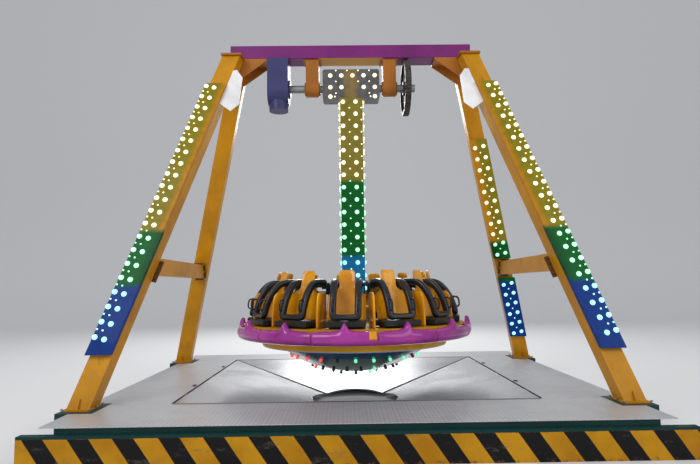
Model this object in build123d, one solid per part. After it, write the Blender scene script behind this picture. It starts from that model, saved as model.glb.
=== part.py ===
from build123d import *
import math
import os

# Pendulum ride with a turning ring of outward-facing seats. Millimetres, Z up.
# The origin is on the floor, below the axis of the hanging arm.
# The swing axis runs along X, and the front of the ride looks towards -Y.

# Platform
DECK_HALF_WIDTH = 3140
DECK_FRONT = -2800
DECK_BACK = 2860
DECK_TOP = 380
PLATE = 8
FRAME_HALF_WIDTH = 2980
BEAM_WIDTH = 90
OVERHANG = 30
PAD_REACH = 3290
PAD_WIDTH = 520
FRONT_BEAM_HALF = 3320
FRONT_BEAM_HEIGHT = 310
FRONT_BEAM_DEPTH = 90
PIT_BEAM_SETBACK = 32
PLATE_GAP = 6

# Pit under the seats, closed by four sloping flaps
PIT_HALF_WIDTH = 2180
PIT_FRONT = -1750
PIT_BACK = 2100
PIT_HOLE_RADIUS = 640
FLAP_CORNER_HEIGHT = 50
FLAP_PLATE = 6
FLAP_RIM = 22
FLAP_GAP = 18
HINGE_DROP = 52
HINGE_PIN = 12
HINGE_LENGTH = 90
HINGE_FIT = 0.08
HINGE_SIDE_GAP = 2
HINGE_STRAP_GAP = 6

# Frame that carries the swing shaft
FOOT_X = 3110
FOOT_Y = 1950
HEAD_X = 1800
HEAD_Y = 250
LEG_WIDTH = 250
LEG_DEPTH = 200
FLANGE_SIZE = (300, 330)
FLANGE_PLATE = 18
RIB_HEIGHT = 100
RIB_PLATE = 12
CROWN_HALF_LENGTH = 1860
SHAFT_HEIGHT = 4800
SHAFT_TO_CROWN = 440
CROWN_BOTTOM = SHAFT_HEIGHT + SHAFT_TO_CROWN
CROWN_HEIGHT = 210
CROWN_DEPTH = 320
HEAD_PLATE = 30
HEAD_PLATE_X = (1650, 1960)
HEAD_PLATE_Y = 390
GUSSET_INNER = 1300
GUSSET_DROP = 300
GUSSET_PLATE = 14
TIE_HEIGHT = 2005
TIE_SECTION = (150, 230)
TIE_FLANGE = 20
TIE_FLANGE_EDGE = 30

# Lamp boxes on the legs
LAMP_BOX_WIDTH = 285
LAMP_BOX_OFFSET = 20
LAMP_BOX_DEPTH = 55
LAMP_BOX_SIDE = 120
LAMP_BOX_LOW = 965
LAMP_BOX_HIGH = 4690
BACK_LAMP_LOW = 780
BACK_LAMP_HIGH = 4110
HEAD_COVER_PLATE = 10
HEAD_COVER_OUTLINE = [(0, 20), (50, 0), (170, 110), (280, 590), (195, 735), (0, 645)]
HEAD_COVER_DROP = 284

# Swing shaft, its bearings and drives
SHAFT_RADIUS = 60
SHAFT_RIGHT = 1000
RUNNING_FIT = 0.06
HANGER_CENTRE = 600
HANGER_WIDTH = 200
HANGER_RADIUS = 125
DRIVE_CENTRE = -1130
DRIVE_WIDTH = 320
DRIVE_RADIUS = 200
DRIVE_MOTOR_RADIUS = 150
DRIVE_MOTOR_DROP = 350
WHEEL_CENTRE = 860
WHEEL_RADIUS = 425
WHEEL_WIDTH = 90
WHEEL_TEETH = 48
TOOTH_DEPTH = 16

# Arm
ARM_HEAD_HALF_WIDTH = 440
ARM_HEAD_TOP = 270
ARM_HEAD_BOTTOM = 200
ARM_HEAD_DEPTH = 270
ARM_TUBE = 240
LAMP_SLEEVE = 345
SLEEVE_WALL = 5
SLEEVE_GAP = 20
ARM_FLANGE_TOP = 1420
ARM_FLANGE_PLATE = 30
ARM_FLANGE_RADIUS = 250
SPINDLE_RADIUS = 80
SPINDLE_COLLAR = 130
BEARING_GAP = 5

# Turning seat ring
SEATS = 13
FIRST_SEAT_ANGLE = -95
HUB_RADIUS = 260
HUB_HEIGHT = 240
FLOOR_TOP = 1190
FLOOR_PLATE = 20
FLOOR_RADIUS = 1620
FLOOR_FLANGE = 80
FLOOR_FLANGE_PLATE = 6
RIM_RADIUS = 1345
RIM_WALL = 12
RIM_BOTTOM = 892
RIM_BAND = 70
RIM_BAND_PROUD = 12
DOME_RADIUS = 1080
DOME_TOP = 848
DOME_BOTTOM = 470
DOME_WALL = 6
LIP_PLATE = 12
SKIRT_RADIUS = 1725
SKIRT_TOP = 1175
SKIRT_SHOULDER = 1140
SKIRT_TOP_INSET = 60
SKIRT_LEAN = 12
SKIRT_TUCK = 90
SKIRT_TURN = 25
SKIRT_WAIST = 1085
SKIRT_BOTTOM = 975
SKIRT_INNER = 1420
SKIRT_WALL = 6
SKIRT_SEAM = 6
SCALLOP_RADIUS = 600
SCALLOP_LOW = 1150
HORN_BASE = 1130
HORN_HEIGHT = 107
HORN_WIDTH = 80
HORN_DEPTH = 40
HORN_OUT = 1668

# Seat and harness, in a seat's own frame: x outwards, y across, z up from the floor plate
PAN_INNER = 1130
PAN_OUTER = 1560
PAN_WIDTH = 470
PAN_LOW = 20
PAN_TOP = 95
BACK_TOP = 740
SEAT_FIT = 0.3
BACK_RADIUS = 1240
BACK_LEAN = 130
BACK_WIDTH = 500
BACK_WALL = 30
BACK_SHAPE = [(0.0, 1.0), (0.49, 0.98), (0.57, 0.76), (0.65, 0.412), (1.0, 0.412)]
BACK_WINGS = [95, 84, 62, 36, 24]
POST_RADIUS = 1000
POST_SECTION = (60, 80)
YOKE_HEIGHT = 540
YOKE_HALF_WIDTH = 210
YOKE_PLATE = 14
YOKE_DROP = 92
BRACKET_HEIGHT = 430
PIVOT_RADIUS = 16
PIVOT_TUBE = 26
PAD_HALF_SPACING = 158
PAD_WIDTH_ACROSS = 88
PAD_ROUNDING = 22
LAP_BAR = (1466, 1530, 103, 165)
GRAB_BAR = 22
PAD_OUTLINE = [(954, 480), (954, 628), (1235, 628), (1412, 480), (1505, 300), (1540, 101),
               (1454, 101), (1420, 270), (1338, 420), (1204, 540), (1046, 540), (1046, 480)]
PAD_BENDS = [30, 70, 120, 160, 160, 30, 30, 120, 120, 70, 28, 28]
GRAB_OUTLINE = [(1440, 375), (1522, 370), (1556, 340), (1570, 236), (1548, 208), (1490, 212)]
GRAB_HOLE = [(1440, 351), (1514, 348), (1534, 330), (1546, 248), (1534, 230), (1480, 234)]
DIVIDER_INNER = 1190
DIVIDER_OUTER = 1510
DIVIDER_TOP = 450
DIVIDER_PLATE = 36
SEAM_STRIP_ANGLE = -83.4
SEAM_STRIP_WIDTH = 90
SEAM_STRIP_PLATE = 8

FLOOR_LEVEL = 0


def block(x0, x1, y0, y1, z0, z1):
    """Box between two corners."""
    centre = ((x0 + x1) / 2, (y0 + y1) / 2, (z0 + z1) / 2)
    return Pos(*centre) * Box(abs(x1 - x0), abs(y1 - y0), abs(z1 - z0))


def rod_x(radius, x0, x1, y, z):
    """Cylinder along X."""
    return Pos((x0 + x1) / 2, y, z) * Rot(0, 90, 0) * Cylinder(radius, abs(x1 - x0))


def rod_y(radius, x, y0, y1, z):
    """Cylinder along Y."""
    return Pos(x, (y0 + y1) / 2, z) * Rot(90, 0, 0) * Cylinder(radius, abs(y1 - y0))


def rod_z(radius, x, y, z0, z1):
    """Upright cylinder."""
    return Pos(x, y, (z0 + z1) / 2) * Cylinder(radius, abs(z1 - z0))


def turned(points):
    """Solid of revolution about Z from an outline of (radius, height) points."""
    face = make_face(Polyline(*[(r, 0, z) for r, z in points], close=True))
    return revolve(face, Axis.Z, 360)


def fused(parts):
    """One solid from pieces that are welded together."""
    whole = parts[0]
    for piece in parts[1:]:
        whole = whole + piece
    return whole


def seat_turn(index):
    """Rotation that carries a seat's own frame to its place on the ring."""
    return Rot(0, 0, FIRST_SEAT_ANGLE + index * 360 / SEATS)


# Platform

def base_frame():
    top = DECK_TOP - PLATE
    half = BEAM_WIDTH / 2
    front_y = DECK_FRONT + OVERHANG
    back_y = DECK_BACK - OVERHANG
    side_x = FRAME_HALF_WIDTH
    beams = []
    setback = PIT_BEAM_SETBACK + half
    for y in (front_y + half, PIT_FRONT - setback, PIT_BACK + setback, back_y - half):
        beams.append(block(-side_x, side_x, y - half, y + half, FLOOR_LEVEL, top))
    for x in (side_x - half, PIT_HALF_WIDTH + setback):
        for side in (-1, 1):
            x0, x1 = side * (x - half), side * (x + half)
            beams.append(block(x0, x1, front_y, back_y, FLOOR_LEVEL, top))
    for side in (-1, 1):
        for y in (-FOOT_Y, FOOT_Y):
            x0, x1 = side * (side_x - BEAM_WIDTH), side * PAD_REACH
            beams.append(block(x0, x1, y - PAD_WIDTH / 2, y + PAD_WIDTH / 2, FLOOR_LEVEL, DECK_TOP))
    return fused(beams)


def deck_plates():
    low, high = DECK_TOP - PLATE, DECK_TOP
    plates = {
        "deck_front": block(-DECK_HALF_WIDTH, DECK_HALF_WIDTH, DECK_FRONT, PIT_FRONT, low, high),
        "deck_back": block(-DECK_HALF_WIDTH, DECK_HALF_WIDTH, PIT_BACK, DECK_BACK, low, high),
    }
    for name, side in (("deck_left", -1), ("deck_right", 1)):
        x0, x1 = side * PIT_HALF_WIDTH, side * DECK_HALF_WIDTH
        plates[name] = block(x0, x1, PIT_FRONT + PLATE_GAP, PIT_BACK - PLATE_GAP, low, high)
    gap = PLATE_GAP
    notch = PAD_WIDTH / 2 + gap
    notch_x = FRAME_HALF_WIDTH - BEAM_WIDTH - gap
    for side in (-1, 1):
        for y in (-FOOT_Y, FOOT_Y):
            cut = block(side * notch_x, side * (PAD_REACH + gap), y - notch, y + notch, 0, high + gap)
            for name in plates:
                plates[name] = plates[name] - cut
    return plates


def front_hazard_beam():
    back = DECK_FRONT + OVERHANG
    return block(-FRONT_BEAM_HALF, FRONT_BEAM_HALF, back - FRONT_BEAM_DEPTH, back,
                 FLOOR_LEVEL, FRONT_BEAM_HEIGHT)


# Pit flaps. Each one is drawn level, with its hinge line on X = 0 and its tip towards +X,
# and is then turned down about the hinge pin and carried to its side of the pit.

def flap_spread(reach, low, high, slope):
    """Level plate of a flap: a triangle to the pit's middle, less the round hole."""
    outline = make_face(Polyline((0, low), (0, high), (reach, 0), close=True))
    outline = offset(outline, -FLAP_GAP, kind=Kind.INTERSECTION)
    hole_reach = reach - (reach - PIT_HOLE_RADIUS) / math.cos(slope)
    return outline - Pos(reach, 0) * Circle(hole_reach)


def pit_flap(reach, low, high):
    """Flap plate with its stiffening rim and hinge knuckles."""
    side = max(abs(low), abs(high))
    corner = PIT_HOLE_RADIUS * reach / math.hypot(reach, side)
    slope = math.atan2(DECK_TOP - FLAP_CORNER_HEIGHT, reach - corner)
    shape = flap_spread(reach, low, high, slope)
    plate = extrude(shape, FLAP_PLATE, dir=(0, 0, -1))
    inner = offset(shape, -FLAP_RIM, kind=Kind.INTERSECTION)
    rim = extrude(Pos(0, 0, -FLAP_PLATE) * (shape - inner), FLAP_RIM - FLAP_PLATE, dir=(0, 0, -1))
    parts = [plate, rim]
    for at in hinge_places(low, high):
        parts.append(knuckle(at))
    body = fused(parts)
    for at in hinge_places(low, high):
        y0, y1 = at - HINGE_LENGTH, at + HINGE_LENGTH
        body = body - rod_y(HINGE_PIN + HINGE_FIT, 0, y0, y1, -HINGE_DROP)
    return body, slope


def hinge_places(low, high):
    """Places of the hinges along a flap's hinge line."""
    middle, span = (low + high) / 2, (high - low)
    return [middle - span * 0.36, middle, middle + span * 0.36]


def knuckle(at):
    """Eye of a flap's hinge, on a strap under the plate."""
    half = HINGE_LENGTH / 2
    eye = rod_y(HINGE_PIN * 1.9, 0, at - half, at + half, -HINGE_DROP)
    strap = block(HINGE_STRAP_GAP, FLAP_GAP + FLAP_RIM * 3, at - half, at + half, -HINGE_DROP, -FLAP_PLATE / 2)
    return eye + strap


def flap_side(name):
    """Reach, hinge span and place of a flap."""
    x, front, back = PIT_HALF_WIDTH, PIT_FRONT, PIT_BACK
    return {
        "flap_left": (x, front, back, Pos(-x, 0, DECK_TOP)),
        "flap_right": (x, -back, -front, Pos(x, 0, DECK_TOP) * Rot(0, 0, 180)),
        "flap_front": (-front, -x, x, Pos(0, front, DECK_TOP) * Rot(0, 0, 90)),
        "flap_back": (back, -x, x, Pos(0, back, DECK_TOP) * Rot(0, 0, -90)),
    }[name]


def lowered(slope):
    """Turn about the hinge pin that lowers a level flap to its slope."""
    pin = (0, 0, -HINGE_DROP)
    return Pos(*pin) * Rot(0, math.degrees(slope), 0) * Pos(0, 0, HINGE_DROP)


def pit_flaps():
    flaps = {}
    for name in ("flap_left", "flap_right", "flap_front", "flap_back"):
        reach, low, high, place = flap_side(name)
        body, slope = pit_flap(reach, low, high)
        flaps[name] = place * lowered(slope) * body
    return flaps


def hinge_pins():
    """Pins with their lugs, on the pit's beams."""
    lugs = []
    half = HINGE_LENGTH / 2 + HINGE_SIDE_GAP
    lug = 16
    for name in ("flap_left", "flap_right", "flap_front", "flap_back"):
        reach, low, high, place = flap_side(name)
        for at in hinge_places(low, high):
            piece = rod_y(HINGE_PIN, 0, at - half - lug, at + half + lug, -HINGE_DROP)
            for end in (-1, 1):
                y0, y1 = at + end * half, at + end * (half + lug)
                cheek = rod_y(HINGE_PIN * 1.8, 0, y0, y1, -HINGE_DROP)
                arm = block(-PIT_BEAM_SETBACK, 0, y0, y1, -HINGE_DROP - 20, -HINGE_DROP + 20)
                piece = piece + cheek + arm
            lugs.append(place * piece)
    return lugs


# Legs. A leg's own frame has its origin at the foot, z along the leg and x across it.

def leg_plane(side, front):
    """Frame of a leg: z runs from the foot to the head, x stays level."""
    foot = Vector(side * FOOT_X, front * FOOT_Y, DECK_TOP)
    head = Vector(side * HEAD_X, front * HEAD_Y, CROWN_BOTTOM - HEAD_PLATE)
    along = (head - foot).normalized()
    across = Vector(1, 0, 0) - along * along.X
    return Plane(origin=foot, x_dir=across.normalized(), z_dir=along), (head - foot).length


def leg(side, front):
    plane, length = leg_plane(side, front)
    bar = plane.location * Pos(0, 0, length / 2) * Box(LEG_WIDTH, LEG_DEPTH, length + 600)
    keep = block(-4000, 4000, -4000, 4000, DECK_TOP + FLANGE_PLATE, CROWN_BOTTOM - HEAD_PLATE)
    x, y = side * FOOT_X, front * FOOT_Y
    wide, deep = FLANGE_SIZE[0] / 2, FLANGE_SIZE[1] / 2
    flange = block(x - wide, x + wide, y - deep, y + deep, DECK_TOP, DECK_TOP + FLANGE_PLATE)
    body = (bar & keep) + flange
    for way in (-1, 1):
        body = body + foot_rib(x, y, way, way * plane.z_dir.Y / plane.z_dir.Z)
    return body


def foot_rib(x, y, way, lean):
    """Upright web between a leg and its base flange; lean is the leg's shift per unit of height."""
    reach = FLANGE_SIZE[1] / 2 - 20
    shift = lean * RIB_HEIGHT
    top = LEG_DEPTH / 2 + 25 + shift
    web = make_face(Polyline((0, 0), (reach, 0), (top, RIB_HEIGHT), (shift, RIB_HEIGHT), close=True))
    place = Plane(origin=(x, y, DECK_TOP + FLANGE_PLATE), x_dir=(0, way, 0), z_dir=(way, 0, 0))
    return place.location * extrude(web, RIB_PLATE / 2, both=True)


def along_leg(plane, x0, x1, y0, y1, low, high):
    """Bar beside a leg between two heights above the floor."""
    bar = plane.location * Pos((x0 + x1) / 2, (y0 + y1) / 2, CROWN_BOTTOM / 2)
    bar = bar * Box(abs(x1 - x0), abs(y1 - y0), CROWN_BOTTOM * 1.3)
    return bar & block(-4500, 4500, -4500, 4500, low, high)


def front_lamp_box(side):
    """Lamp box over the front and the outer face of a front leg."""
    plane, length = leg_plane(side, -1)
    face = -LEG_DEPTH / 2
    inner = side * (LAMP_BOX_OFFSET - LAMP_BOX_WIDTH / 2)
    outer = side * (LAMP_BOX_OFFSET + LAMP_BOX_WIDTH / 2)
    cheek = side * LEG_WIDTH / 2
    facing = front_sign(plane)
    low, high = LAMP_BOX_LOW, LAMP_BOX_HIGH
    front = along_leg(plane, inner, outer, facing * -face, facing * (-face + LAMP_BOX_DEPTH), low, high)
    back_edge = facing * (-face - LAMP_BOX_SIDE)
    cheek_box = along_leg(plane, cheek, outer, back_edge, facing * (-face + LAMP_BOX_DEPTH), low, high)
    return front + cheek_box


def front_sign(plane):
    """Sign of the leg frame's y that looks towards the front of the ride."""
    return -1 if plane.y_dir.Y > 0 else 1


def back_lamp_box(side):
    """Lamp box on the front face of a back leg."""
    plane, length = leg_plane(side, 1)
    facing = front_sign(plane)
    inner, outer = -LAMP_BOX_WIDTH / 2, LAMP_BOX_WIDTH / 2
    near = facing * LEG_DEPTH / 2
    far = facing * (LEG_DEPTH / 2 + LAMP_BOX_DEPTH)
    gap = TIE_SECTION[1] / 2 + TIE_FLANGE_EDGE + 20
    lower = along_leg(plane, inner, outer, near, far, BACK_LAMP_LOW, TIE_HEIGHT - gap)
    upper = along_leg(plane, inner, outer, near, far, TIE_HEIGHT + gap, BACK_LAMP_HIGH)
    return [lower, upper]


def leg_at(side, front, height):
    """Centre of a leg at a height above the floor."""
    plane, length = leg_plane(side, front)
    step = (height - DECK_TOP) / plane.z_dir.Z
    return plane.origin + plane.z_dir * step


def leg_tie(side):
    """Level box between the front and back legs of one side, with end flanges."""
    wide, high = TIE_SECTION
    centre = leg_at(side, -1, TIE_HEIGHT)
    front_plane, length = leg_plane(side, -1)
    reach = abs(centre.Y) + LEG_DEPTH
    bar = block(centre.X - wide / 2, centre.X + wide / 2, -reach, reach,
                TIE_HEIGHT - high / 2, TIE_HEIGHT + high / 2)
    edge = TIE_FLANGE_EDGE
    wing = block(centre.X - wide / 2 - edge, centre.X + wide / 2 + edge, -reach, reach,
                 TIE_HEIGHT - high / 2 - edge, TIE_HEIGHT + high / 2 + edge)
    for front in (-1, 1):
        plane, length = leg_plane(side, front)
        bar = bar - plane.location * Box(900, LEG_DEPTH, 12000)
        wing = wing - plane.location * Box(900, LEG_DEPTH, 12000)
        inner = plane.location * Box(900, LEG_DEPTH + 2 * TIE_FLANGE, 12000)
        wing = wing & block(-4000, 4000, -reach, reach, 0, 9000)
        bar = bar + (wing & inner)
    solids = bar.solids()
    return max(solids, key=lambda s: s.bounding_box().size.Y)


# Head of the frame

def crown_beam():
    body = block(-CROWN_HALF_LENGTH, CROWN_HALF_LENGTH, -CROWN_DEPTH / 2, CROWN_DEPTH / 2,
                 CROWN_BOTTOM, CROWN_BOTTOM + CROWN_HEIGHT)
    return fillet(body.edges().filter_by(Axis.X), 12)


def head(side):
    """Head plate over the legs, and two gusset plates down to them."""
    top = CROWN_BOTTOM
    x0, x1 = side * HEAD_PLATE_X[0], side * HEAD_PLATE_X[1]
    plate = block(x0, x1, -HEAD_PLATE_Y, HEAD_PLATE_Y, top - HEAD_PLATE, top)
    wide = block(side * GUSSET_INNER, x1, -CROWN_DEPTH / 2, CROWN_DEPTH / 2, top - HEAD_PLATE, top)
    body = plate + wide
    slope = (FOOT_X - HEAD_X) / (CROWN_BOTTOM - DECK_TOP)
    low = top - HEAD_PLATE - GUSSET_DROP
    outer = HEAD_X + LEG_WIDTH / 2
    points = [(GUSSET_INNER, top - HEAD_PLATE), (outer, top - HEAD_PLATE),
              (outer + GUSSET_DROP * slope, low), (outer + GUSSET_DROP * slope - 290, low)]
    web = make_face(Polyline(*[(side * x, 0, z) for x, z in points], close=True))
    for y in (-CROWN_DEPTH / 2 + GUSSET_PLATE, CROWN_DEPTH / 2):
        body = body + extrude(Pos(0, y, 0) * web, GUSSET_PLATE, dir=(0, -1, 0))
    for front in (-1, 1):
        plane, length = leg_plane(side, front)
        shaft = plane.location * Box(LEG_WIDTH, LEG_DEPTH, 12000)
        body = body - (shaft & block(-4000, 4000, -4000, 4000, 0, top - HEAD_PLATE))
    return body


def head_cover(side):
    """White pointed plate beside the top of a front leg, flush with the leg's front face."""
    plane, length = leg_plane(side, -1)
    facing = front_sign(plane)
    edge = LEG_WIDTH / 2
    face = facing * LEG_DEPTH / 2
    corners = [(-side * (edge + x), face, length - HEAD_COVER_DROP - down) for x, down in HEAD_COVER_OUTLINE]
    shape = make_face(Polyline(*corners, close=True))
    return plane.location * extrude(shape, HEAD_COVER_PLATE, dir=(0, -facing, 0))


def bearing_hangers():
    """Two bearing blocks that hang from the crown beam and carry the swing shaft."""
    blocks = []
    for side in (-1, 1):
        x0 = side * (HANGER_CENTRE - HANGER_WIDTH / 2)
        x1 = side * (HANGER_CENTRE + HANGER_WIDTH / 2)
        drop = block(x0, x1, -HANGER_RADIUS, HANGER_RADIUS, SHAFT_HEIGHT, CROWN_BOTTOM)
        boss = rod_x(HANGER_RADIUS, x0, x1, 0, SHAFT_HEIGHT)
        shoe = block(x0 - side * 40, x1 + side * 40, -HANGER_RADIUS, HANGER_RADIUS,
                     CROWN_BOTTOM - 20, CROWN_BOTTOM)
        cap = rod_x(SHAFT_RADIUS + 45, x0 - side * 18, x1 + side * 18, 0, SHAFT_HEIGHT)
        bore = rod_x(SHAFT_RADIUS + RUNNING_FIT, x0 - side * 60, x1 + side * 60, 0, SHAFT_HEIGHT)
        blocks.append(drop + boss + shoe + cap - bore)
    return blocks


def swing_drive():
    """Gear unit on the left end of the shaft, with its motor hanging below."""
    x0, x1 = DRIVE_CENTRE - DRIVE_WIDTH / 2, DRIVE_CENTRE + DRIVE_WIDTH / 2
    case = block(x0, x1, -DRIVE_RADIUS, DRIVE_RADIUS, SHAFT_HEIGHT - 60, CROWN_BOTTOM)
    belly = rod_x(DRIVE_RADIUS, x0, x1, 0, SHAFT_HEIGHT - 60)
    flange = rod_x(DRIVE_RADIUS * 0.7, x1, x1 + 24, 0, SHAFT_HEIGHT)
    low = SHAFT_HEIGHT - 60 - DRIVE_RADIUS
    motor = rod_z(DRIVE_MOTOR_RADIUS, DRIVE_CENTRE, 0, SHAFT_HEIGHT - DRIVE_MOTOR_DROP, low + 60)
    bore = rod_x(SHAFT_RADIUS + RUNNING_FIT, x0 + 40, x1 + 60, 0, SHAFT_HEIGHT)
    return case + belly + flange + motor - bore


# Swinging arm

def swing_shaft():
    return rod_x(SHAFT_RADIUS, DRIVE_CENTRE - DRIVE_WIDTH / 2 + 45, SHAFT_RIGHT, 0, SHAFT_HEIGHT)


def drive_wheel():
    """Toothed wheel on the right end of the shaft."""
    x0, x1 = WHEEL_CENTRE - WHEEL_WIDTH / 2, WHEEL_CENTRE + WHEEL_WIDTH / 2
    root = WHEEL_RADIUS - TOOTH_DEPTH
    points = []
    pitch = 2 * math.pi / WHEEL_TEETH
    for tooth in range(WHEEL_TEETH):
        for share, radius in ((0, root), (0.28, WHEEL_RADIUS), (0.5, WHEEL_RADIUS), (0.78, root)):
            angle = (tooth + share) * pitch
            points.append((radius * math.cos(angle), radius * math.sin(angle)))
    rim = extrude(make_face(Polyline(*points, close=True)), WHEEL_WIDTH)
    rim = rim - extrude(Circle(root - 45), WHEEL_WIDTH)
    web = Pos(0, 0, WHEEL_WIDTH / 2 - 12) * extrude(Circle(root - 40), 24)
    boss = extrude(Circle(SHAFT_RADIUS + 50), WHEEL_WIDTH)
    wheel = rim + web + boss
    for turn in range(6):
        window = Rot(0, 0, turn * 60) * Pos(185, 0, 0) * extrude(Circle(52), WHEEL_WIDTH)
        wheel = wheel - window
    wheel = wheel - extrude(Circle(SHAFT_RADIUS), WHEEL_WIDTH)
    return Pos(x0, 0, SHAFT_HEIGHT) * Rot(0, 90, 0) * wheel


def arm_head():
    """Wide head of the arm, welded round the shaft."""
    half, deep = ARM_HEAD_HALF_WIDTH, ARM_HEAD_DEPTH / 2
    top, low = SHAFT_HEIGHT + ARM_HEAD_TOP, SHAFT_HEIGHT - ARM_HEAD_BOTTOM
    body = block(-half, half, -deep, deep, low, top)
    body = fillet(body.edges().filter_by(Axis.Y), 40)
    return body - rod_x(SHAFT_RADIUS, -half, half, 0, SHAFT_HEIGHT)


def arm_tube():
    """Box tube from the head down to the flange and spindle of the turning ring."""
    half = ARM_TUBE / 2
    top = SHAFT_HEIGHT - ARM_HEAD_BOTTOM
    flange_low = ARM_FLANGE_TOP - ARM_FLANGE_PLATE
    tube = block(-half, half, -half, half, ARM_FLANGE_TOP, top)
    flange = rod_z(ARM_FLANGE_RADIUS, 0, 0, flange_low, ARM_FLANGE_TOP)
    hub_low = flange_low - BEARING_GAP - HUB_HEIGHT
    spindle = rod_z(SPINDLE_RADIUS, 0, 0, hub_low - BEARING_GAP - 25, flange_low)
    collar = rod_z(SPINDLE_COLLAR, 0, 0, hub_low - BEARING_GAP - 25, hub_low - BEARING_GAP)
    return tube + flange + spindle + collar


def arm_lamp_sleeve():
    """Square lamp cover round the arm, with closed ends that grip the tube."""
    half = LAMP_SLEEVE / 2
    low = ARM_FLANGE_TOP + SLEEVE_GAP
    high = SHAFT_HEIGHT - ARM_HEAD_BOTTOM
    outer = block(-half, half, -half, half, low, high)
    wall = half - SLEEVE_WALL
    hollow = block(-wall, wall, -wall, wall, low + SLEEVE_WALL, high - SLEEVE_WALL)
    tube = ARM_TUBE / 2
    return outer - hollow - block(-tube, tube, -tube, tube, low, high)


# Turning ring

def spin_hub():
    """Bearing housing of the ring, round the arm's spindle."""
    top = ARM_FLANGE_TOP - ARM_FLANGE_PLATE - BEARING_GAP
    low = top - HUB_HEIGHT
    body = rod_z(HUB_RADIUS, 0, 0, low, top)
    return body - rod_z(SPINDLE_RADIUS + RUNNING_FIT, 0, 0, low, top)


def ring_floor():
    """Floor plate of the ring on the hub, with radial ribs and a flange that hangs from its edge."""
    top, low = FLOOR_TOP, FLOOR_TOP - FLOOR_PLATE
    flange_in = FLOOR_RADIUS - FLOOR_FLANGE_PLATE
    body = turned([(HUB_RADIUS, low), (flange_in, low), (flange_in, low - FLOOR_FLANGE),
                   (FLOOR_RADIUS, low - FLOOR_FLANGE), (FLOOR_RADIUS, top), (HUB_RADIUS, top)])
    for index in range(SEATS):
        rib = block(HUB_RADIUS + 3, RIM_RADIUS - RIM_WALL - 3, -6, 6, low - 80, low + 4)
        body = body + seat_turn(index) * rib
    return body


def ring_rim():
    """Upright band under the floor, with a proud strip at its foot."""
    outer, inner = RIM_RADIUS, RIM_RADIUS - RIM_WALL
    proud = RIM_RADIUS + RIM_BAND_PROUD
    top = FLOOR_TOP - FLOOR_PLATE
    return turned([(inner, RIM_BOTTOM), (proud, RIM_BOTTOM), (proud, RIM_BOTTOM + RIM_BAND),
                   (outer, RIM_BOTTOM + RIM_BAND), (outer, top), (inner, top)])


def dome():
    """Shallow bowl below the ring with its sloping lip."""
    depth = DOME_TOP - DOME_BOTTOM
    radius = (DOME_RADIUS ** 2 + depth ** 2) / (2 * depth)
    centre = DOME_BOTTOM + radius
    angle = math.asin(DOME_RADIUS / radius)
    small = radius - DOME_WALL
    inner_angle = math.acos((centre - DOME_TOP) / small)

    def on_arc(size, turn):
        return (size * math.sin(turn), 0, centre - size * math.cos(turn))

    outer = ThreePointArc(on_arc(radius, 0), on_arc(radius, angle / 2), on_arc(radius, angle))
    inner = ThreePointArc(on_arc(small, 0), on_arc(small, inner_angle / 2), on_arc(small, inner_angle))
    lip_top = RIM_BOTTOM
    edge = RIM_RADIUS + RIM_BAND_PROUD
    rest = Polyline(on_arc(radius, angle), (edge, 0, lip_top - LIP_PLATE), (edge, 0, lip_top),
                    (small * math.sin(inner_angle), 0, lip_top), on_arc(small, inner_angle))
    axis = Line(on_arc(radius, 0), on_arc(small, 0))
    return revolve(make_face([outer, inner, rest, axis]), Axis.Z, 360)


def skirt_profile():
    """Outline of the skirt's shell, bellied like the edge of a bowl."""
    wall = SKIRT_WALL
    inner_top = SKIRT_RADIUS - SKIRT_TOP_INSET
    outer = [(SKIRT_INNER, SKIRT_BOTTOM), (SKIRT_RADIUS - SKIRT_TUCK, SKIRT_BOTTOM + SKIRT_TURN),
             (SKIRT_RADIUS, SKIRT_WAIST), (SKIRT_RADIUS - SKIRT_LEAN, SKIRT_SHOULDER), (inner_top, SKIRT_TOP)]
    inner = [(inner_top - wall, SKIRT_TOP - wall), (SKIRT_RADIUS - SKIRT_LEAN - wall, SKIRT_SHOULDER - wall),
             (SKIRT_RADIUS - wall, SKIRT_WAIST), (SKIRT_RADIUS - SKIRT_TUCK, SKIRT_BOTTOM + SKIRT_TURN + wall),
             (SKIRT_INNER, SKIRT_BOTTOM + wall)]
    deck = [(FLOOR_RADIUS + SEAT_FIT, SKIRT_TOP), (FLOOR_RADIUS + SEAT_FIT, SKIRT_TOP - wall)]
    return outer + deck + inner


def skirt_panels():
    """One glossy panel for each seat: scalloped towards its seams, with a horn between the knees."""
    step = 360 / SEATS
    gap = math.degrees(SKIRT_SEAM / SKIRT_RADIUS)
    outline = make_face(Polyline(*[(r, 0, z) for r, z in skirt_profile()], close=True))
    sector = revolve(Rot(0, 0, -step / 2 + gap / 2) * outline, Axis.Z, step - gap)
    for way in (-1, 1):
        scoop = rod_x(SCALLOP_RADIUS, SKIRT_INNER, SKIRT_RADIUS + 50, 0, SCALLOP_LOW + SCALLOP_RADIUS)
        sector = sector - Rot(0, 0, way * step / 2) * scoop
    base = Plane(origin=(HORN_OUT, 0, HORN_BASE))
    tip = Plane(origin=(HORN_OUT, 0, SKIRT_TOP + HORN_HEIGHT))
    horn = loft([base * Ellipse(HORN_DEPTH, HORN_WIDTH), tip * Ellipse(HORN_DEPTH / 2, HORN_WIDTH / 5)])
    panel = sector + horn
    return [seat_turn(index) * panel for index in range(SEATS)]


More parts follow.
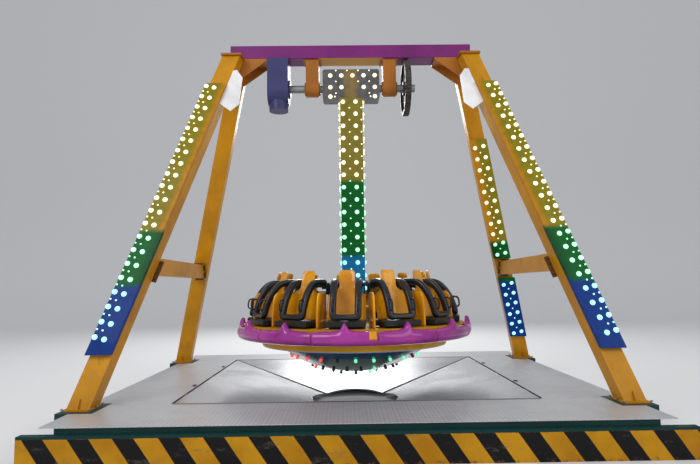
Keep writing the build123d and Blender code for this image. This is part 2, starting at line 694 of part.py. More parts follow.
def seam_strip():
    """Strip that closes one wide seam of the skirt."""
    plate = SEAM_STRIP_PLATE
    skin = [(SKIRT_RADIUS - SKIRT_TUCK, SKIRT_BOTTOM + SKIRT_TURN), (SKIRT_RADIUS, SKIRT_WAIST),
            (SKIRT_RADIUS - SKIRT_LEAN, SKIRT_SHOULDER), (SKIRT_RADIUS - SKIRT_LEAN - plate, SKIRT_TOP)]
    near = [(r + SEAT_FIT, z) for r, z in skin]
    far = [(r + plate, z) for r, z in reversed(skin)]
    angle = math.degrees(SEAM_STRIP_WIDTH / SKIRT_RADIUS)
    outline = make_face(Polyline(*[(r, 0, z) for r, z in near + far], close=True))
    return revolve(Rot(0, 0, SEAM_STRIP_ANGLE - angle / 2) * outline, Axis.Z, angle)


# Seats

def seat_pan():
    """Black seat base with a dished top."""
    low, high = FLOOR_TOP + PAN_LOW, FLOOR_TOP + PAN_TOP
    half = PAN_WIDTH / 2
    front = half * 1.08
    shape = make_face(Polyline((PAN_INNER, -half), (PAN_OUTER, -front), (PAN_OUTER, front),
                               (PAN_INNER, half), close=True))
    body = extrude(Pos(0, 0, low) * shape, high - low)
    body = chamfer(body.edges(), 14)
    dish = Pos((PAN_INNER + PAN_OUTER) / 2 + 40, 0, high + 640) * Sphere(670)
    body = body - dish
    foot = block(PAN_INNER + 60, PAN_OUTER - 120, -half * 0.7, half * 0.7, FLOOR_TOP, low + 20)
    return body + foot


def back_section(height, width, depth, radius):
    """Crescent section of the seat back at one height."""
    half = width / 2
    front = ThreePointArc((radius + depth, -half), (radius, 0), (radius + depth, half))
    rear = ThreePointArc((radius + depth - BACK_WALL, -half - 4), (radius - BACK_WALL, 0),
                         (radius + depth - BACK_WALL, half + 4))
    ends = [Line(front @ 0, rear @ 0), Line(front @ 1, rear @ 1)]
    return Pos(0, 0, FLOOR_TOP + height) * make_face([front, rear] + ends)


def seat_back():
    """Moulded high back that leans inwards: wide wings at the hips, a narrow headrest above."""
    rise = BACK_TOP - PAN_TOP
    sections = []
    for (share, wide), depth in zip(BACK_SHAPE, BACK_WINGS):
        radius = BACK_RADIUS - BACK_LEAN * share
        sections.append(back_section(PAN_TOP + rise * share, BACK_WIDTH * wide, depth, radius))
    return loft(sections, ruled=True)


def seat_post():
    """Post behind a seat back, with a bracket to the back and the yoke that carries the harness."""
    wide, deep = POST_SECTION
    top = FLOOR_TOP + YOKE_HEIGHT
    x0, x1 = POST_RADIUS - deep / 2, POST_RADIUS + deep / 2
    low = top - YOKE_DROP
    post = block(x0, x1, -wide / 2, wide / 2, FLOOR_TOP, low)
    reach = YOKE_HALF_WIDTH + YOKE_PLATE
    cross = block(x0, x1, -reach, reach, low - YOKE_PLATE * 2, low)
    height = FLOOR_TOP + BRACKET_HEIGHT
    bracket = block(x1 - 10, BACK_RADIUS - BACK_WALL, -wide / 2, wide / 2, height, height + 16)
    bracket = bracket - Pos(-SEAT_FIT, 0, 0) * seat_back()
    body = post + cross + min(bracket.solids(), key=lambda part: part.center().X)
    for side in (-1, 1):
        y0, y1 = side * YOKE_HALF_WIDTH, side * reach
        cheek = block(x0, x1, y0, y1, low - YOKE_PLATE, top) + rod_y(40, POST_RADIUS, y0, y1, top)
        cheek = cheek - rod_y(PIVOT_RADIUS + RUNNING_FIT, POST_RADIUS, y0, y1, top)
        body = body + cheek
    return body


def divider():
    """Moulded fin between two seats."""
    top = FLOOR_TOP + DIVIDER_TOP
    points = [(DIVIDER_INNER, FLOOR_TOP), (DIVIDER_OUTER, FLOOR_TOP), (DIVIDER_OUTER, top - 60),
              (DIVIDER_OUTER - 40, top), (DIVIDER_INNER, top)]
    fin = make_face(Polyline(*[(x, DIVIDER_PLATE / 2, z) for x, z in points], close=True))
    body = extrude(fin, DIVIDER_PLATE, dir=(0, -1, 0))
    upper = body.edges().filter_by(Axis.Z, reverse=True).filter_by(Axis.Y, reverse=True)
    upper = [edge for edge in upper if edge.center().Z > FLOOR_TOP + 1]
    return Rot(0, 0, 180 / SEATS) * chamfer(upper, DIVIDER_PLATE / 3)


def padded_arm(centre_y):
    """One shoulder arm: a thick rounded pad from the pivot over the shoulder to the lap."""
    y = centre_y + PAD_WIDTH_ACROSS / 2
    corners = [(x, y, FLOOR_TOP + z) for x, z in PAD_OUTLINE]
    side = make_face(FilletPolyline(*corners, radius=PAD_BENDS, close=True))
    pad = extrude(side, PAD_WIDTH_ACROSS, dir=(0, -1, 0))
    long_edges = [edge for edge in pad.edges() if edge.bounding_box().size.Y < 1]
    return chamfer(long_edges, PAD_ROUNDING)


def grab_loop(centre_y):
    """Flat loop on the front of a shoulder arm."""
    y = centre_y + GRAB_BAR / 2
    side = make_face(Polyline(*[(x, y, FLOOR_TOP + z) for x, z in GRAB_OUTLINE], close=True))
    hole = make_face(Polyline(*[(x, y, FLOOR_TOP + z) for x, z in GRAB_HOLE], close=True))
    loop = extrude(side, GRAB_BAR, dir=(0, -1, 0)) - extrude(hole, GRAB_BAR, dir=(0, -1, 0))
    return loop


def harness():
    """Over-shoulder harness: pivot tube, two padded arms with grab loops, and the lap bar."""
    pivot = FLOOR_TOP + YOKE_HEIGHT
    x0, x1, low, high = LAP_BAR
    half = PAD_HALF_SPACING
    bar = block(x0, x1, -half, half, FLOOR_TOP + low, FLOOR_TOP + high)
    body = chamfer(bar.edges().filter_by(Axis.Y), PAD_ROUNDING)
    body = body + rod_y(PIVOT_TUBE, POST_RADIUS, -half, half, pivot)
    for side in (-1, 1):
        body = body + padded_arm(side * half) + grab_loop(side * half)
        tip = side * (YOKE_HALF_WIDTH + YOKE_PLATE)
        body = body + rod_y(PIVOT_RADIUS, POST_RADIUS, side * half, tip, pivot)
    return body


# Build and write

def write(name, shape):
    """Write one node to its own STEP file."""
    solids = shape if isinstance(shape, list) else [shape]
    flat = []
    for item in solids:
        flat += item.solids()
    export_step(flat[0] if len(flat) == 1 else Compound(flat), os.path.join("parts", name + ".step"))


def main():
    os.makedirs("parts", exist_ok=True)
    frame = base_frame()
    nodes = {
        "base_frame": frame,
        "flap_hinge_pins": hinge_pins(),
        "front_hazard_beam": front_hazard_beam(),
        "crown_beam": crown_beam(),
        "bearing_hangers": bearing_hangers(),
        "swing_drive": swing_drive(),
        "swing_shaft": swing_shaft(),
        "drive_wheel": drive_wheel(),
        "arm_head": arm_head(),
        "arm_tube": arm_tube(),
        "arm_lamp_sleeve": arm_lamp_sleeve(),
        "spin_hub": spin_hub(),
        "ring_floor": ring_floor(),
        "ring_rim": ring_rim(),
        "dome": dome(),
        "skirt_panels": skirt_panels(),
        "seam_strip": seam_strip(),
        "lamp_box_back_right": back_lamp_box(1),
    }
    nodes.update(deck_plates())
    nodes.update(pit_flaps())
    for word, side in (("left", -1), ("right", 1)):
        nodes["leg_front_" + word] = leg(side, -1)
        nodes["leg_back_" + word] = leg(side, 1)
        nodes["leg_tie_" + word] = leg_tie(side)
        nodes["head_" + word] = head(side)
        nodes["head_cover_" + word] = head_cover(side)
        nodes["lamp_box_front_" + word] = front_lamp_box(side)
    pan, back, post, bar = seat_pan(), seat_back(), seat_post(), harness()
    turns = [seat_turn(index) for index in range(SEATS)]
    nodes["seat_pans"] = [turn * pan for turn in turns]
    nodes["seat_backs"] = [turn * back for turn in turns]
    nodes["seat_posts"] = [turn * post for turn in turns]
    nodes["seat_dividers"] = [turn * divider() for turn in turns]
    for index, turn in enumerate(turns):
        nodes["harness_%02d" % (index + 1)] = turn * bar
    for name, shape in nodes.items():
        write(name, shape)


main()
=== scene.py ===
import bpy
import math
import numpy as np
from mathutils import Matrix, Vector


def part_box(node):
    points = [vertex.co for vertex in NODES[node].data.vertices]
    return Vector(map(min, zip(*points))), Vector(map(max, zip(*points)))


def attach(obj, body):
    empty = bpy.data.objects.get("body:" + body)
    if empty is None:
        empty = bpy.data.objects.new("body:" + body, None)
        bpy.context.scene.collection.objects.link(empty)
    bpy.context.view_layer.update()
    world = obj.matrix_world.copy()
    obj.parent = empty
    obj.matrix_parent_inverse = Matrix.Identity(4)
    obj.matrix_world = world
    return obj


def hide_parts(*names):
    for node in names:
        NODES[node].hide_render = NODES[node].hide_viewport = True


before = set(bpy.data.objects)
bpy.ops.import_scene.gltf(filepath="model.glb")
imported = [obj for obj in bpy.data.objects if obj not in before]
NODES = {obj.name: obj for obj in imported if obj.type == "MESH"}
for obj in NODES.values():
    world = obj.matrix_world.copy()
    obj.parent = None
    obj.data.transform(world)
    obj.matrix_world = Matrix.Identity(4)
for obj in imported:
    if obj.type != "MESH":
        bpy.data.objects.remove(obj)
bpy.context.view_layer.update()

# Driving sizes of the ride, in metres
DECK_TOP = 0.380
FOOT = np.array([3.110, 1.950, DECK_TOP])
HEAD = np.array([1.800, 0.250, 5.210])
LEG_DEPTH = 0.200
BASE_FLANGE = 0.018
LAMP_BOX_WIDTH, LAMP_BOX_OFFSET = 0.285, 0.020
LAMP_BOX_DEPTH, LAMP_BOX_SIDE = 0.055, 0.120
LAMP_BOX_LOW, LAMP_BOX_HIGH = 0.965, 4.690
BACK_LAMP_LOW, BACK_LAMP_HIGH = 0.780, 4.110
TIE_HEIGHT = 2.005
TIE_WIDTH, TIE_DEPTH = 0.150, 0.230
TIE_FLANGE, TIE_MARGIN = 0.020, 0.030
SHAFT_HEIGHT = 4.800
CROWN_BOTTOM = 5.240
HANGER_CENTRE = 0.600
SEATS = 13
FIRST_SEAT_ANGLE = math.radians(-95)
DOME_RADIUS, DOME_TOP, DOME_BOTTOM = 1.080, 0.848, 0.470
FLOOR_TOP = 1.190
UP = np.array([0, 0, 1.0])

# Camera fitted to the photograph: place, heading, tilt and roll, for an image 700 wide
CAMERA_PLACE = (-0.127, -8.300, 1.711)
CAMERA_HEADING, CAMERA_TILT, CAMERA_ROLL = 0.010, 0.100, -0.013
FOCAL_PIXELS, IMAGE_WIDTH, SENSOR = 545.0, 700.0, 36.0


# Shader maths

class Amount:
    """A number or colour given by a node, with arithmetic that adds nodes."""

    def __init__(self, finish, socket):
        self.finish = finish
        self.socket = socket

    def maths(self, operation, *values):
        return self.finish.node("ShaderNodeMath", {"operation": operation}, dict(enumerate(values)))

    def __add__(self, other):
        return self.maths("ADD", self, other)

    __radd__ = __add__

    def __sub__(self, other):
        return self.maths("SUBTRACT", self, other)

    def __rsub__(self, other):
        return self.maths("SUBTRACT", other, self)

    def __mul__(self, other):
        return self.maths("MULTIPLY", self, other)

    __rmul__ = __mul__

    def __truediv__(self, other):
        return self.maths("DIVIDE", self, other)

    def __pow__(self, other):
        return self.maths("POWER", self, other)

    def __gt__(self, other):
        return self.maths("GREATER_THAN", self, other)

    def __lt__(self, other):
        return self.maths("LESS_THAN", self, other)

    def most(self, other):
        return self.maths("MAXIMUM", self, other)

    def size(self):
        return self.maths("ABSOLUTE", self)

    def floor(self):
        return self.maths("FLOOR", self)

    def wave(self):
        return self.maths("SINE", self)

    def wrapped(self, length):
        return self.maths("FLOORED_MODULO", self, length)

    def smooth(self, low, high):
        """0 below low, 1 above high, and a soft step between."""
        settings = {"interpolation_type": "SMOOTHSTEP"}
        return self.finish.node("ShaderNodeMapRange", settings, {0: self, 1: low, 2: high})


class Finish:
    """A material, and short ways to add the nodes that it needs."""

    def __init__(self, name):
        self.material = bpy.data.materials.new(name)
        self.material.use_nodes = True
        self.tree = self.material.node_tree
        self.tree.nodes.clear()
        self.coordinates = None

    def node(self, kind, settings=None, inputs=None, output=0):
        """Add one node: its settings first, then the values or links of its sockets."""
        made = self.tree.nodes.new(kind)
        for key, value in (settings or {}).items():
            setattr(made, key, value)
        for key, value in (inputs or {}).items():
            if isinstance(value, Amount):
                self.tree.links.new(value.socket, made.inputs[key])
            else:
                made.inputs[key].default_value = value
        return Amount(self, made.outputs[output]) if made.outputs else None

    def place(self):
        """Object coordinates, in metres in the ride's frame."""
        if self.coordinates is None:
            self.coordinates = self.node("ShaderNodeTexCoord", output=3)
        return self.coordinates

    def axes(self):
        """The three object coordinates apart."""
        parts = self.node("ShaderNodeSeparateXYZ", None, {0: self.place()}).socket.node
        return [Amount(self, socket) for socket in parts.outputs]

    def stretched(self, *scale):
        """Object coordinates scaled along each axis."""
        return self.node("ShaderNodeMapping", None, {0: self.place(), 3: scale})

    def noise(self, scale, detail=4.0, rough=0.55, at=None):
        """Cloudy noise from 0 to 1, by cells in a metre, octaves and the weight of the fine ones."""
        return self.node("ShaderNodeTexNoise", None, {0: at or self.place(), 2: scale, 3: detail, 4: rough})

    def pores(self, scale):
        """Distance from the walls of random cells."""
        return self.node("ShaderNodeTexVoronoi", {"feature": "DISTANCE_TO_EDGE"}, {0: self.place(), 2: scale})

    def blend(self, factor, first, second):
        """Colour mix."""
        inputs = {0: factor, 6: with_alpha(first), 7: with_alpha(second)}
        return self.node("ShaderNodeMix", {"data_type": "RGBA"}, inputs, output=2)

    def bump(self, height, distance, strength):
        """Relief from a height, as a normal."""
        inputs = {"Height": height, "Distance": distance, "Strength": strength}
        return self.node("ShaderNodeBump", None, inputs)

    def surface(self, **sockets):
        """Principled surface from named sockets, with underscores for spaces."""
        inputs = {key.replace("_", " "): value for key, value in sockets.items()}
        shader = self.node("ShaderNodeBsdfPrincipled", None, inputs)
        self.node("ShaderNodeOutputMaterial", None, {0: shader})
        return self.material


def with_alpha(colour):
    """A plain colour gets its alpha; a linked one stays."""
    return colour if isinstance(colour, Amount) else (*colour, 1.0)


def shade(colour, factor):
    """A plain colour made darker, or lighter above 1."""
    return tuple(channel * factor for channel in colour)


# Paint

YELLOW = (0.61, 0.265, 0.004)
GREEN = (0.008, 0.052, 0.048)
DIRT = (0.07, 0.035, 0.012)
RUST = (0.16, 0.055, 0.018)

# Length of one black and one yellow band, the bands' shift and slope, the black share and the top edge
HAZARD_PITCH, HAZARD_SHIFT, HAZARD_SLOPE = 0.4365, -0.002, 0.70
HAZARD_BLACK, HAZARD_TOP = 0.47, 0.2835


def painted(name, colour, grime, rust, rough=0.34, patch=None):
    """Brushed-on gloss paint: uneven tone, runs of dirt and a few rust blooms. A patch is a second
    colour, its share there and its place as a function of the three coordinates."""
    f = Finish(name)
    tone = f.noise(1.7, 3, 0.6)
    fine = f.noise(38, 5, 0.65)
    base = f.blend(tone.smooth(0.3, 0.7), shade(colour, 0.82), shade(colour, 1.10))
    runs = f.noise(9, 5, 0.7, at=f.stretched(1.0, 1.0, 0.14))
    stain = (runs + fine * 0.35).smooth(0.72, 0.98) * grime
    base = f.blend(stain, base, DIRT)
    if patch:
        second, share, where = patch
        base = f.blend(where(*f.axes()) * (fine * 0.5 + 0.75) * share, base, second)
    chips = (f.noise(13, 8, 0.75) * 0.8 + f.noise(90, 3, 0.5) * 0.25).smooth(0.665, 0.70) * rust
    base = f.blend(chips, base, RUST)
    gloss = fine * 0.18 + rough + stain * 0.30 + chips * 0.4
    height = f.noise(160, 2, 0.5) * 0.25 + tone * 0.6 - chips * 0.8
    return f.surface(Base_Color=base, Roughness=gloss, Metallic=0.0, Coat_Weight=0.06,
                     Coat_Roughness=0.12, Specular_IOR_Level=0.22, Normal=f.bump(height, 0.0006, 0.5))


def under_crown(x, y, z):
    """Underside of the crown beam between the bearing hangers."""
    return (z < CROWN_BOTTOM + 0.003) * (x.size() < HANGER_CENTRE - 0.10)


def tie_flange(x, y, z):
    """End plates of a tie, which lean like the legs."""
    lean = (FOOT[1] - HEAD[1]) / (HEAD[2] - FOOT[2])
    leg_middle = FOOT[1] - lean * (TIE_HEIGHT - FOOT[2])
    face = leg_middle - (LEG_DEPTH / 2 + TIE_FLANGE) * math.hypot(1, lean)
    return y.size() + (z - TIE_HEIGHT) * lean > face - 0.001


def hazard_paint():
    """Diagonal yellow and black bands, worn, scuffed and rusting along both edges, below a strip of the
    frame's green."""
    f = Finish("hazard_paint")
    x, _, z = f.axes()
    wobble = f.noise(3.0, 2) * 0.02
    slant = (x + z * HAZARD_SLOPE + wobble + HAZARD_SHIFT).wrapped(HAZARD_PITCH)
    edge = HAZARD_PITCH * HAZARD_BLACK
    band = slant.smooth(edge - 0.002, edge + 0.002) - slant.smooth(HAZARD_PITCH - 0.004, HAZARD_PITCH)
    fine = f.noise(42, 6, 0.7)
    yellow = f.blend(f.noise(2.2, 4).smooth(0.3, 0.7), (0.42, 0.180, 0.004), (0.58, 0.280, 0.008))
    black = f.blend(fine, (0.004, 0.004, 0.005), (0.014, 0.012, 0.012))
    base = f.blend(band, black, yellow)
    scuff = (f.noise(5, 9, 0.78, at=f.stretched(0.5, 1, 1.6)) + fine * 0.25).smooth(0.70, 0.80)
    base = f.blend(scuff * 0.5, base, (0.14, 0.12, 0.09))
    low = 1 - z.smooth(0.0, 0.10)
    high = z.smooth(HAZARD_TOP - 0.0135, HAZARD_TOP + 0.0005)
    rust = (f.noise(16, 7, 0.75) * 0.7 + low * 0.22 + high * 0.25).smooth(0.56, 0.66)
    base = f.blend(rust * 0.85, base, (0.17, 0.062, 0.022))
    green = f.blend(fine, GREEN, shade(GREEN, 0.6))
    base = f.blend(z.smooth(HAZARD_TOP - 0.001, HAZARD_TOP + 0.001), base, green)
    gloss = fine * 0.2 + 0.34 + scuff * 0.2 + rust * 0.3
    return f.surface(Base_Color=base, Roughness=gloss, Metallic=0.0, Specular_IOR_Level=0.15,
                     Normal=f.bump(fine * 0.5 - scuff * 0.5 + rust * 0.6, 0.0008, 0.7))


def dome_paint():
    """Glossy bowl: a blue band under a pale metal lip, and dark green below, mottled by old lacquer."""
    f = Finish("dome_paint")
    height = f.axes()[2]
    mottle = f.noise(6, 5, 0.65).smooth(0.35, 0.7)
    green = f.blend(mottle, (0.008, 0.110, 0.060), (0.030, 0.100, 0.085))
    blue = f.blend(mottle, (0.008, 0.060, 0.190), (0.020, 0.085, 0.160))
    base = f.blend((height + f.noise(3, 3) * 0.03).smooth(0.750, 0.785), green, blue)
    base = f.blend(height.smooth(DOME_TOP + 0.001, DOME_TOP + 0.004), base, (0.36, 0.47, 0.58))
    return f.surface(Base_Color=base, Roughness=mottle * 0.12 + 0.14, Coat_Weight=0.6,
                     Coat_Roughness=0.06, Normal=f.bump(mottle, 0.001, 0.3))


# Bare metal

RIB_CELL = 0.042


def turned_steel():
    """Turned steel with fine machining marks, oil and a little brown film."""
    f = Finish("turned_steel")
    marks = f.noise(420, 2, 0.5, at=f.stretched(0.06, 1.0, 1.0))
    film = f.noise(14, 6, 0.7).smooth(0.5, 0.75)
    base = f.blend(film * 0.5, (0.34, 0.34, 0.35), (0.13, 0.10, 0.075))
    return f.surface(Base_Color=base, Metallic=0.9, Roughness=marks * 0.2 + film * 0.18 + 0.34,
                     Normal=f.bump(marks, 0.0004, 0.6))


def cast_iron():
    """Dark sand-cast iron: grainy skin, grease and a rusty cast."""
    f = Finish("wheel_iron")
    grain = f.noise(240, 6, 0.7)
    grease = f.noise(11, 5, 0.65).smooth(0.42, 0.66)
    base = f.blend(grease, (0.075, 0.065, 0.058), (0.018, 0.018, 0.02))
    return f.surface(Base_Color=base, Metallic=0.35, Roughness=grain * 0.2 + 0.42 - grease * 0.16,
                     Normal=f.bump(grain, 0.001, 0.8))


def rib(along, across):
    """One raised rib: an ellipsoid cap, long one way and narrow the other."""
    length, width = along.size() / (RIB_CELL * 0.42), across.size() / (RIB_CELL * 0.12)
    return (1 - length ** 2.0 - width ** 2.0).most(0.0) ** 0.5


def ribbed_plate(name, turn=0.0, tint=(0.64, 0.645, 0.66), metal=0.5, rough=0.36, rows=0.08, gap_shadow=None):
    """Aluminium tread plate: short raised ribs laid crosswise in turn, their tops lighter from scuffing and
    as painted highlight, the flat between them darker as painted shade; rows is the weight of painted shade
    in rows across the ribs.
    A strip of painted shadow along the gap at the pit's front edge can be given, from a y to a y, as far as
    an x on both sides."""
    f = Finish(name)
    x, y, _ = f.axes()
    c, s = math.cos(turn), math.sin(turn)
    u, v = x * c + y * s, y * c - x * s
    odd = ((u / RIB_CELL).floor() + (v / RIB_CELL).floor()).wrapped(2.0) > 0.5
    du, dv = u.wrapped(RIB_CELL) - RIB_CELL / 2, v.wrapped(RIB_CELL) - RIB_CELL / 2
    ribs = rib(du, dv) * odd + rib(dv, du) * (1 - odd)
    dust = f.noise(1.3, 6, 0.62).smooth(0.40, 0.72)
    marks = (f.noise(7, 8, 0.75, at=f.stretched(0.35, 2.4, 1)) + f.noise(60, 3) * 0.2).smooth(0.66, 0.82)
    base = f.blend(dust, tint, shade(tint, 0.84))
    base = f.blend(marks * 0.38, base, (0.27, 0.255, 0.235))
    # Rib tops lighter: partly scuffing, partly painted highlight.
    base = f.blend(ribs.smooth(0.25, 0.7) * 0.5, base, (0.88, 0.88, 0.90))
    # Flat plate between the ribs darker: painted shade.
    base = f.blend(0.16 * (1 - ribs.smooth(0.0, 0.25)), base, (0.20, 0.20, 0.205))
    # Rows across the ribs darkened by a wave: painted shade of the ribs.
    between = (u * (2 * math.pi / RIB_CELL / 1.4)).wave() * 0.5 + 0.5
    base = f.blend(between * rows, base, shade(tint, 0.25))
    if gap_shadow:
        near, far, reach = gap_shadow
        # Strip painted dark: painted shadow of the gap at the pit's front edge.
        gap_shadow_strip = (y > near) * (y < far) * (x.size() < reach)
        base = f.blend(gap_shadow_strip * (0.55 + 0.4 * f.noise(2.5, 2)), base, (0.02, 0.022, 0.024))
    gloss = dust * 0.16 + marks * 0.1 + rough - ribs * 0.08
    return f.surface(Base_Color=base, Metallic=metal, Roughness=gloss, Normal=f.bump(ribs, 0.0024, 0.9))


# Lamp covers and lamps

# Heights where the covers' blue and green end, and the light of a lit lamp
LEG_BLUE, LEG_GREEN = 1.775, 2.470
ARM_BLUE, ARM_GREEN = 2.180, 3.325
LAMP_GLOW = 1.2


def lamp_cover(name, first, second, warm, blue, on_leg=False):
    """Glossy printed lamp cover in bands of colour by height: blue at the foot, then green, then a
    warm one. On a leg, towards the leg's inner edge, the green turns darker as painted shade and the warm one
    turns a deeper orange."""
    f = Finish(name)
    x, _, z = f.axes()
    height = z + f.noise(5, 2) * 0.04
    green = (0.001, 0.075, 0.011)
    if on_leg:
        slope = (FOOT[0] - HEAD[0]) / (HEAD[2] - FOOT[2])
        inner = x.size() - (FOOT[0] - (z - DECK_TOP) * slope)
        warm = f.blend(inner.smooth(-0.11, 0.0), (0.34, 0.150, 0.006), warm)
        # Painted shade: the green turns darker towards the leg's inner edge.
        green = f.blend(inner.smooth(-0.13, 0.01), (0.001, 0.044, 0.012), green)
    base = f.blend(height.smooth(first - 0.05, first + 0.05), blue, green)
    base = f.blend(height.smooth(second - 0.04, second + 0.04), base, warm)
    mottle = f.noise(9, 5, 0.65).smooth(0.35, 0.75)
    base = f.blend(mottle * 0.4, base, f.blend(0.6, base, (0.0, 0.0, 0.0)))
    return f.surface(Base_Color=base, Roughness=f.noise(30, 3) * 0.1 + 0.42, Coat_Weight=0.08,
                     Specular_IOR_Level=0.10, Emission_Color=base, Emission_Strength=0.50,
                     Normal=f.bump(f.noise(9, 3), 0.004, 0.35))


def head_cover_print():
    """Cover of the arm's head: olive in the middle, and smoky grey arms."""
    f = Finish("arm_head_cover")
    reach = f.axes()[0].size()
    mottle = f.noise(11, 5, 0.65).smooth(0.3, 0.75)
    olive = f.blend(mottle, (0.20, 0.135, 0.045), (0.13, 0.088, 0.032))
    smoky = f.blend(mottle, (0.105, 0.100, 0.105), (0.055, 0.055, 0.060))
    base = f.blend((reach + f.noise(6, 2) * 0.05).smooth(0.085, 0.165), olive, smoky)
    return f.surface(Base_Color=base, Roughness=mottle * 0.1 + 0.35, Specular_IOR_Level=0.3,
                     Emission_Color=base, Emission_Strength=0.25, Normal=f.bump(mottle, 0.002, 0.3))


def lamp_glass(name, first, second):
    """Lit cap of a lamp: nearly white, tinted by its cover's band of colour."""
    f = Finish(name)
    height = f.axes()[2]
    warm, green, blue = (1.0, 0.95, 0.58), (0.42, 1.0, 0.58), (0.36, 0.90, 1.0)
    glow = f.blend(height > second, f.blend(height > first, blue, green), warm)
    return f.surface(Base_Color=glow, Roughness=0.25, Emission_Color=glow, Emission_Strength=LAMP_GLOW)


def plain_lamp(name, colour, strength):
    """Lamp of one colour, a little uneven."""
    f = Finish(name)
    glow = f.blend(f.noise(60, 2), colour, shade(colour, 0.9))
    return f.surface(Base_Color=glow, Roughness=0.25, Emission_Color=glow, Emission_Strength=strength)


# Mouldings

def gel_coat(name, colour, deep):
    """Glossy moulded shell: clear coat over pigment that pools darker in places, finely scratched."""
    f = Finish(name)
    pool = f.noise(2.6, 3, 0.6).smooth(0.3, 0.72)
    scratches = f.noise(75, 8, 0.8, at=f.stretched(1, 1, 0.3))
    base = f.blend(pool, colour, deep)
    dust = f.noise(24, 6, 0.7).smooth(0.64, 0.82) * 0.15
    base = f.blend(dust, base, (0.32, 0.28, 0.24))
    return f.surface(Base_Color=base, Roughness=scratches * 0.12 + 0.12 + dust * 0.3,
                     Specular_IOR_Level=0.22, Coat_Weight=0.60, Coat_Roughness=0.03,
                     Normal=f.bump(f.noise(11, 3) + scratches * 0.04, 0.0016, 0.4))


def black_moulding(name, colour, rough, coat):
    """Black skinned foam or plastic with a leathery grain and rubbed places."""
    f = Finish(name)
    grain = f.pores(700.0)
    rubbed = f.noise(8, 6, 0.65).smooth(0.48, 0.76)
    base = f.blend(rubbed, colour, shade(colour, 1.8))
    return f.surface(Base_Color=base, Roughness=grain * 0.3 + rough - rubbed * 0.06,
                     Specular_IOR_Level=0.3, Coat_Weight=coat, Coat_Roughness=0.13,
                     Normal=f.bump(grain.smooth(0.0, 0.25), 0.0004, 0.55))


MATERIALS = {
    "leg": painted("leg_yellow_paint", YELLOW, 0.45, 0.45),
    # The rim's paint is lighter than the legs': painted light from the bright flaps below.
    "rim": painted("rim_yellow_paint_painted_light", (0.86, 0.43, 0.008), 0.2, 0.1),
    "tie": painted("tie_yellow_paint", YELLOW, 0.4, 0.3, patch=((0.085, 0.030, 0.012), 0.9, tie_flange)),
    "arm": painted("arm_yellow_paint", (0.62, 0.29, 0.008), 0.3, 0.2),
    "crown": painted("crown_magenta_paint", (0.20, 0.020, 0.17), 0.3, 0.12,
                     patch=((0.72, 0.36, 0.02), 1.0, under_crown)),
    "head": painted("head_orange_paint", (0.42, 0.145, 0.018), 0.5, 0.4),
    "green": painted("frame_green_paint", GREEN, 0.5, 0.6, rough=0.36),
    "drive": painted("drive_blue_paint", (0.050, 0.052, 0.16), 0.5, 0.2),
    "rusty": painted("flange_primer", (0.15, 0.055, 0.014), 0.6, 0.6, rough=0.5),
    "white": painted("cover_white_paint", (0.92, 0.92, 0.92), 0.04, 0.0),
    "steel": turned_steel(),
    "iron": cast_iron(),
    "hazard": hazard_paint(),
    # The deck's plate carries the painted shadow of the gap at the pit's front edge.
    "deck": ribbed_plate("deck_tread_plate", gap_shadow=(-1.810, -1.740, 2.15)),
    # The flaps' plate has a darker tint than the deck's and stronger rows: painted shade of the sloping
    # flaps.
    "flap": ribbed_plate("flap_tread_plate_painted_shade", turn=math.radians(45), tint=(0.50, 0.505, 0.52), metal=0.65,
                         rough=0.28, rows=0.25),
    "cover": lamp_cover("leg_lamp_cover", LEG_BLUE, LEG_GREEN, (0.165, 0.135, 0.006),
                        (0.002, 0.024, 0.150), on_leg=True),
    "sleeve": lamp_cover("arm_lamp_cover", ARM_BLUE, ARM_GREEN, (0.160, 0.128, 0.020),
                         (0.004, 0.110, 0.250)),
    "arm_head": head_cover_print(),
    "glass": lamp_glass("leg_lamp_glass", LEG_BLUE, LEG_GREEN),
    "arm_glass": lamp_glass("arm_lamp_glass", ARM_BLUE, ARM_GREEN),
    "shell": gel_coat("seat_orange_shell", (0.90, 0.39, 0.003), (0.66, 0.235, 0.002)),
    "skirt": gel_coat("skirt_magenta_shell", (0.45, 0.038, 0.34), (0.27, 0.014, 0.22)),
    "pan": black_moulding("seat_black_moulding", (0.010, 0.014, 0.014), rough=0.42, coat=0.12),
    "foam": black_moulding("harness_black_foam", (0.008, 0.009, 0.012), rough=0.30, coat=0.35),
    "dome": dome_paint(),
    "lamp_red": plain_lamp("dome_red_lamp", (1.0, 0.10, 0.09), 0.9),
    "lamp_green": plain_lamp("dome_green_lamp", (0.20, 1.0, 0.55), 0.9),
    "lamp_dark": plain_lamp("dome_unlit_lamp", (0.05, 0.045, 0.05), 0.0),
}

NODE_FINISH = {
    "base_frame": "green", "flap_hinge_pins": "steel", "front_hazard_beam": "hazard", "deck_": "deck",
    "flap_": "flap", "leg_": "leg", "leg_tie": "tie", "crown_beam": "crown", "head_cover": "white",
    "head_": "head", "bearing_hangers": "head", "swing_drive": "drive", "swing_shaft": "steel",
    "drive_wheel": "iron", "arm_head": "arm_head", "arm_tube": "arm", "arm_lamp_sleeve": "sleeve",
    "lamp_box": "cover", "spin_hub": "steel", "ring_floor": "arm", "ring_rim": "rim",
    "dome": "dome", "skirt_panels": "skirt", "seat_pans": "pan", "seat_backs": "shell",
    "seat_posts": "green", "seat_dividers": "shell", "seam_strip": "shell", "harness_": "foam",
}


def dress_nodes():
    """Give every CAD node its finish; the longest matching name wins."""
    for name, piece in NODES.items():
        key = max((k for k in NODE_FINISH if name.startswith(k)), key=len)
        piece.data.materials.clear()
        piece.data.materials.append(MATERIALS[NODE_FINISH[key]])


# Mesh helpers

def add_to_scene(name, data):
    """New object in the scene's own collection."""
    holder = bpy.data.objects.new(name, data)
    bpy.context.scene.collection.objects.link(holder)
    return holder


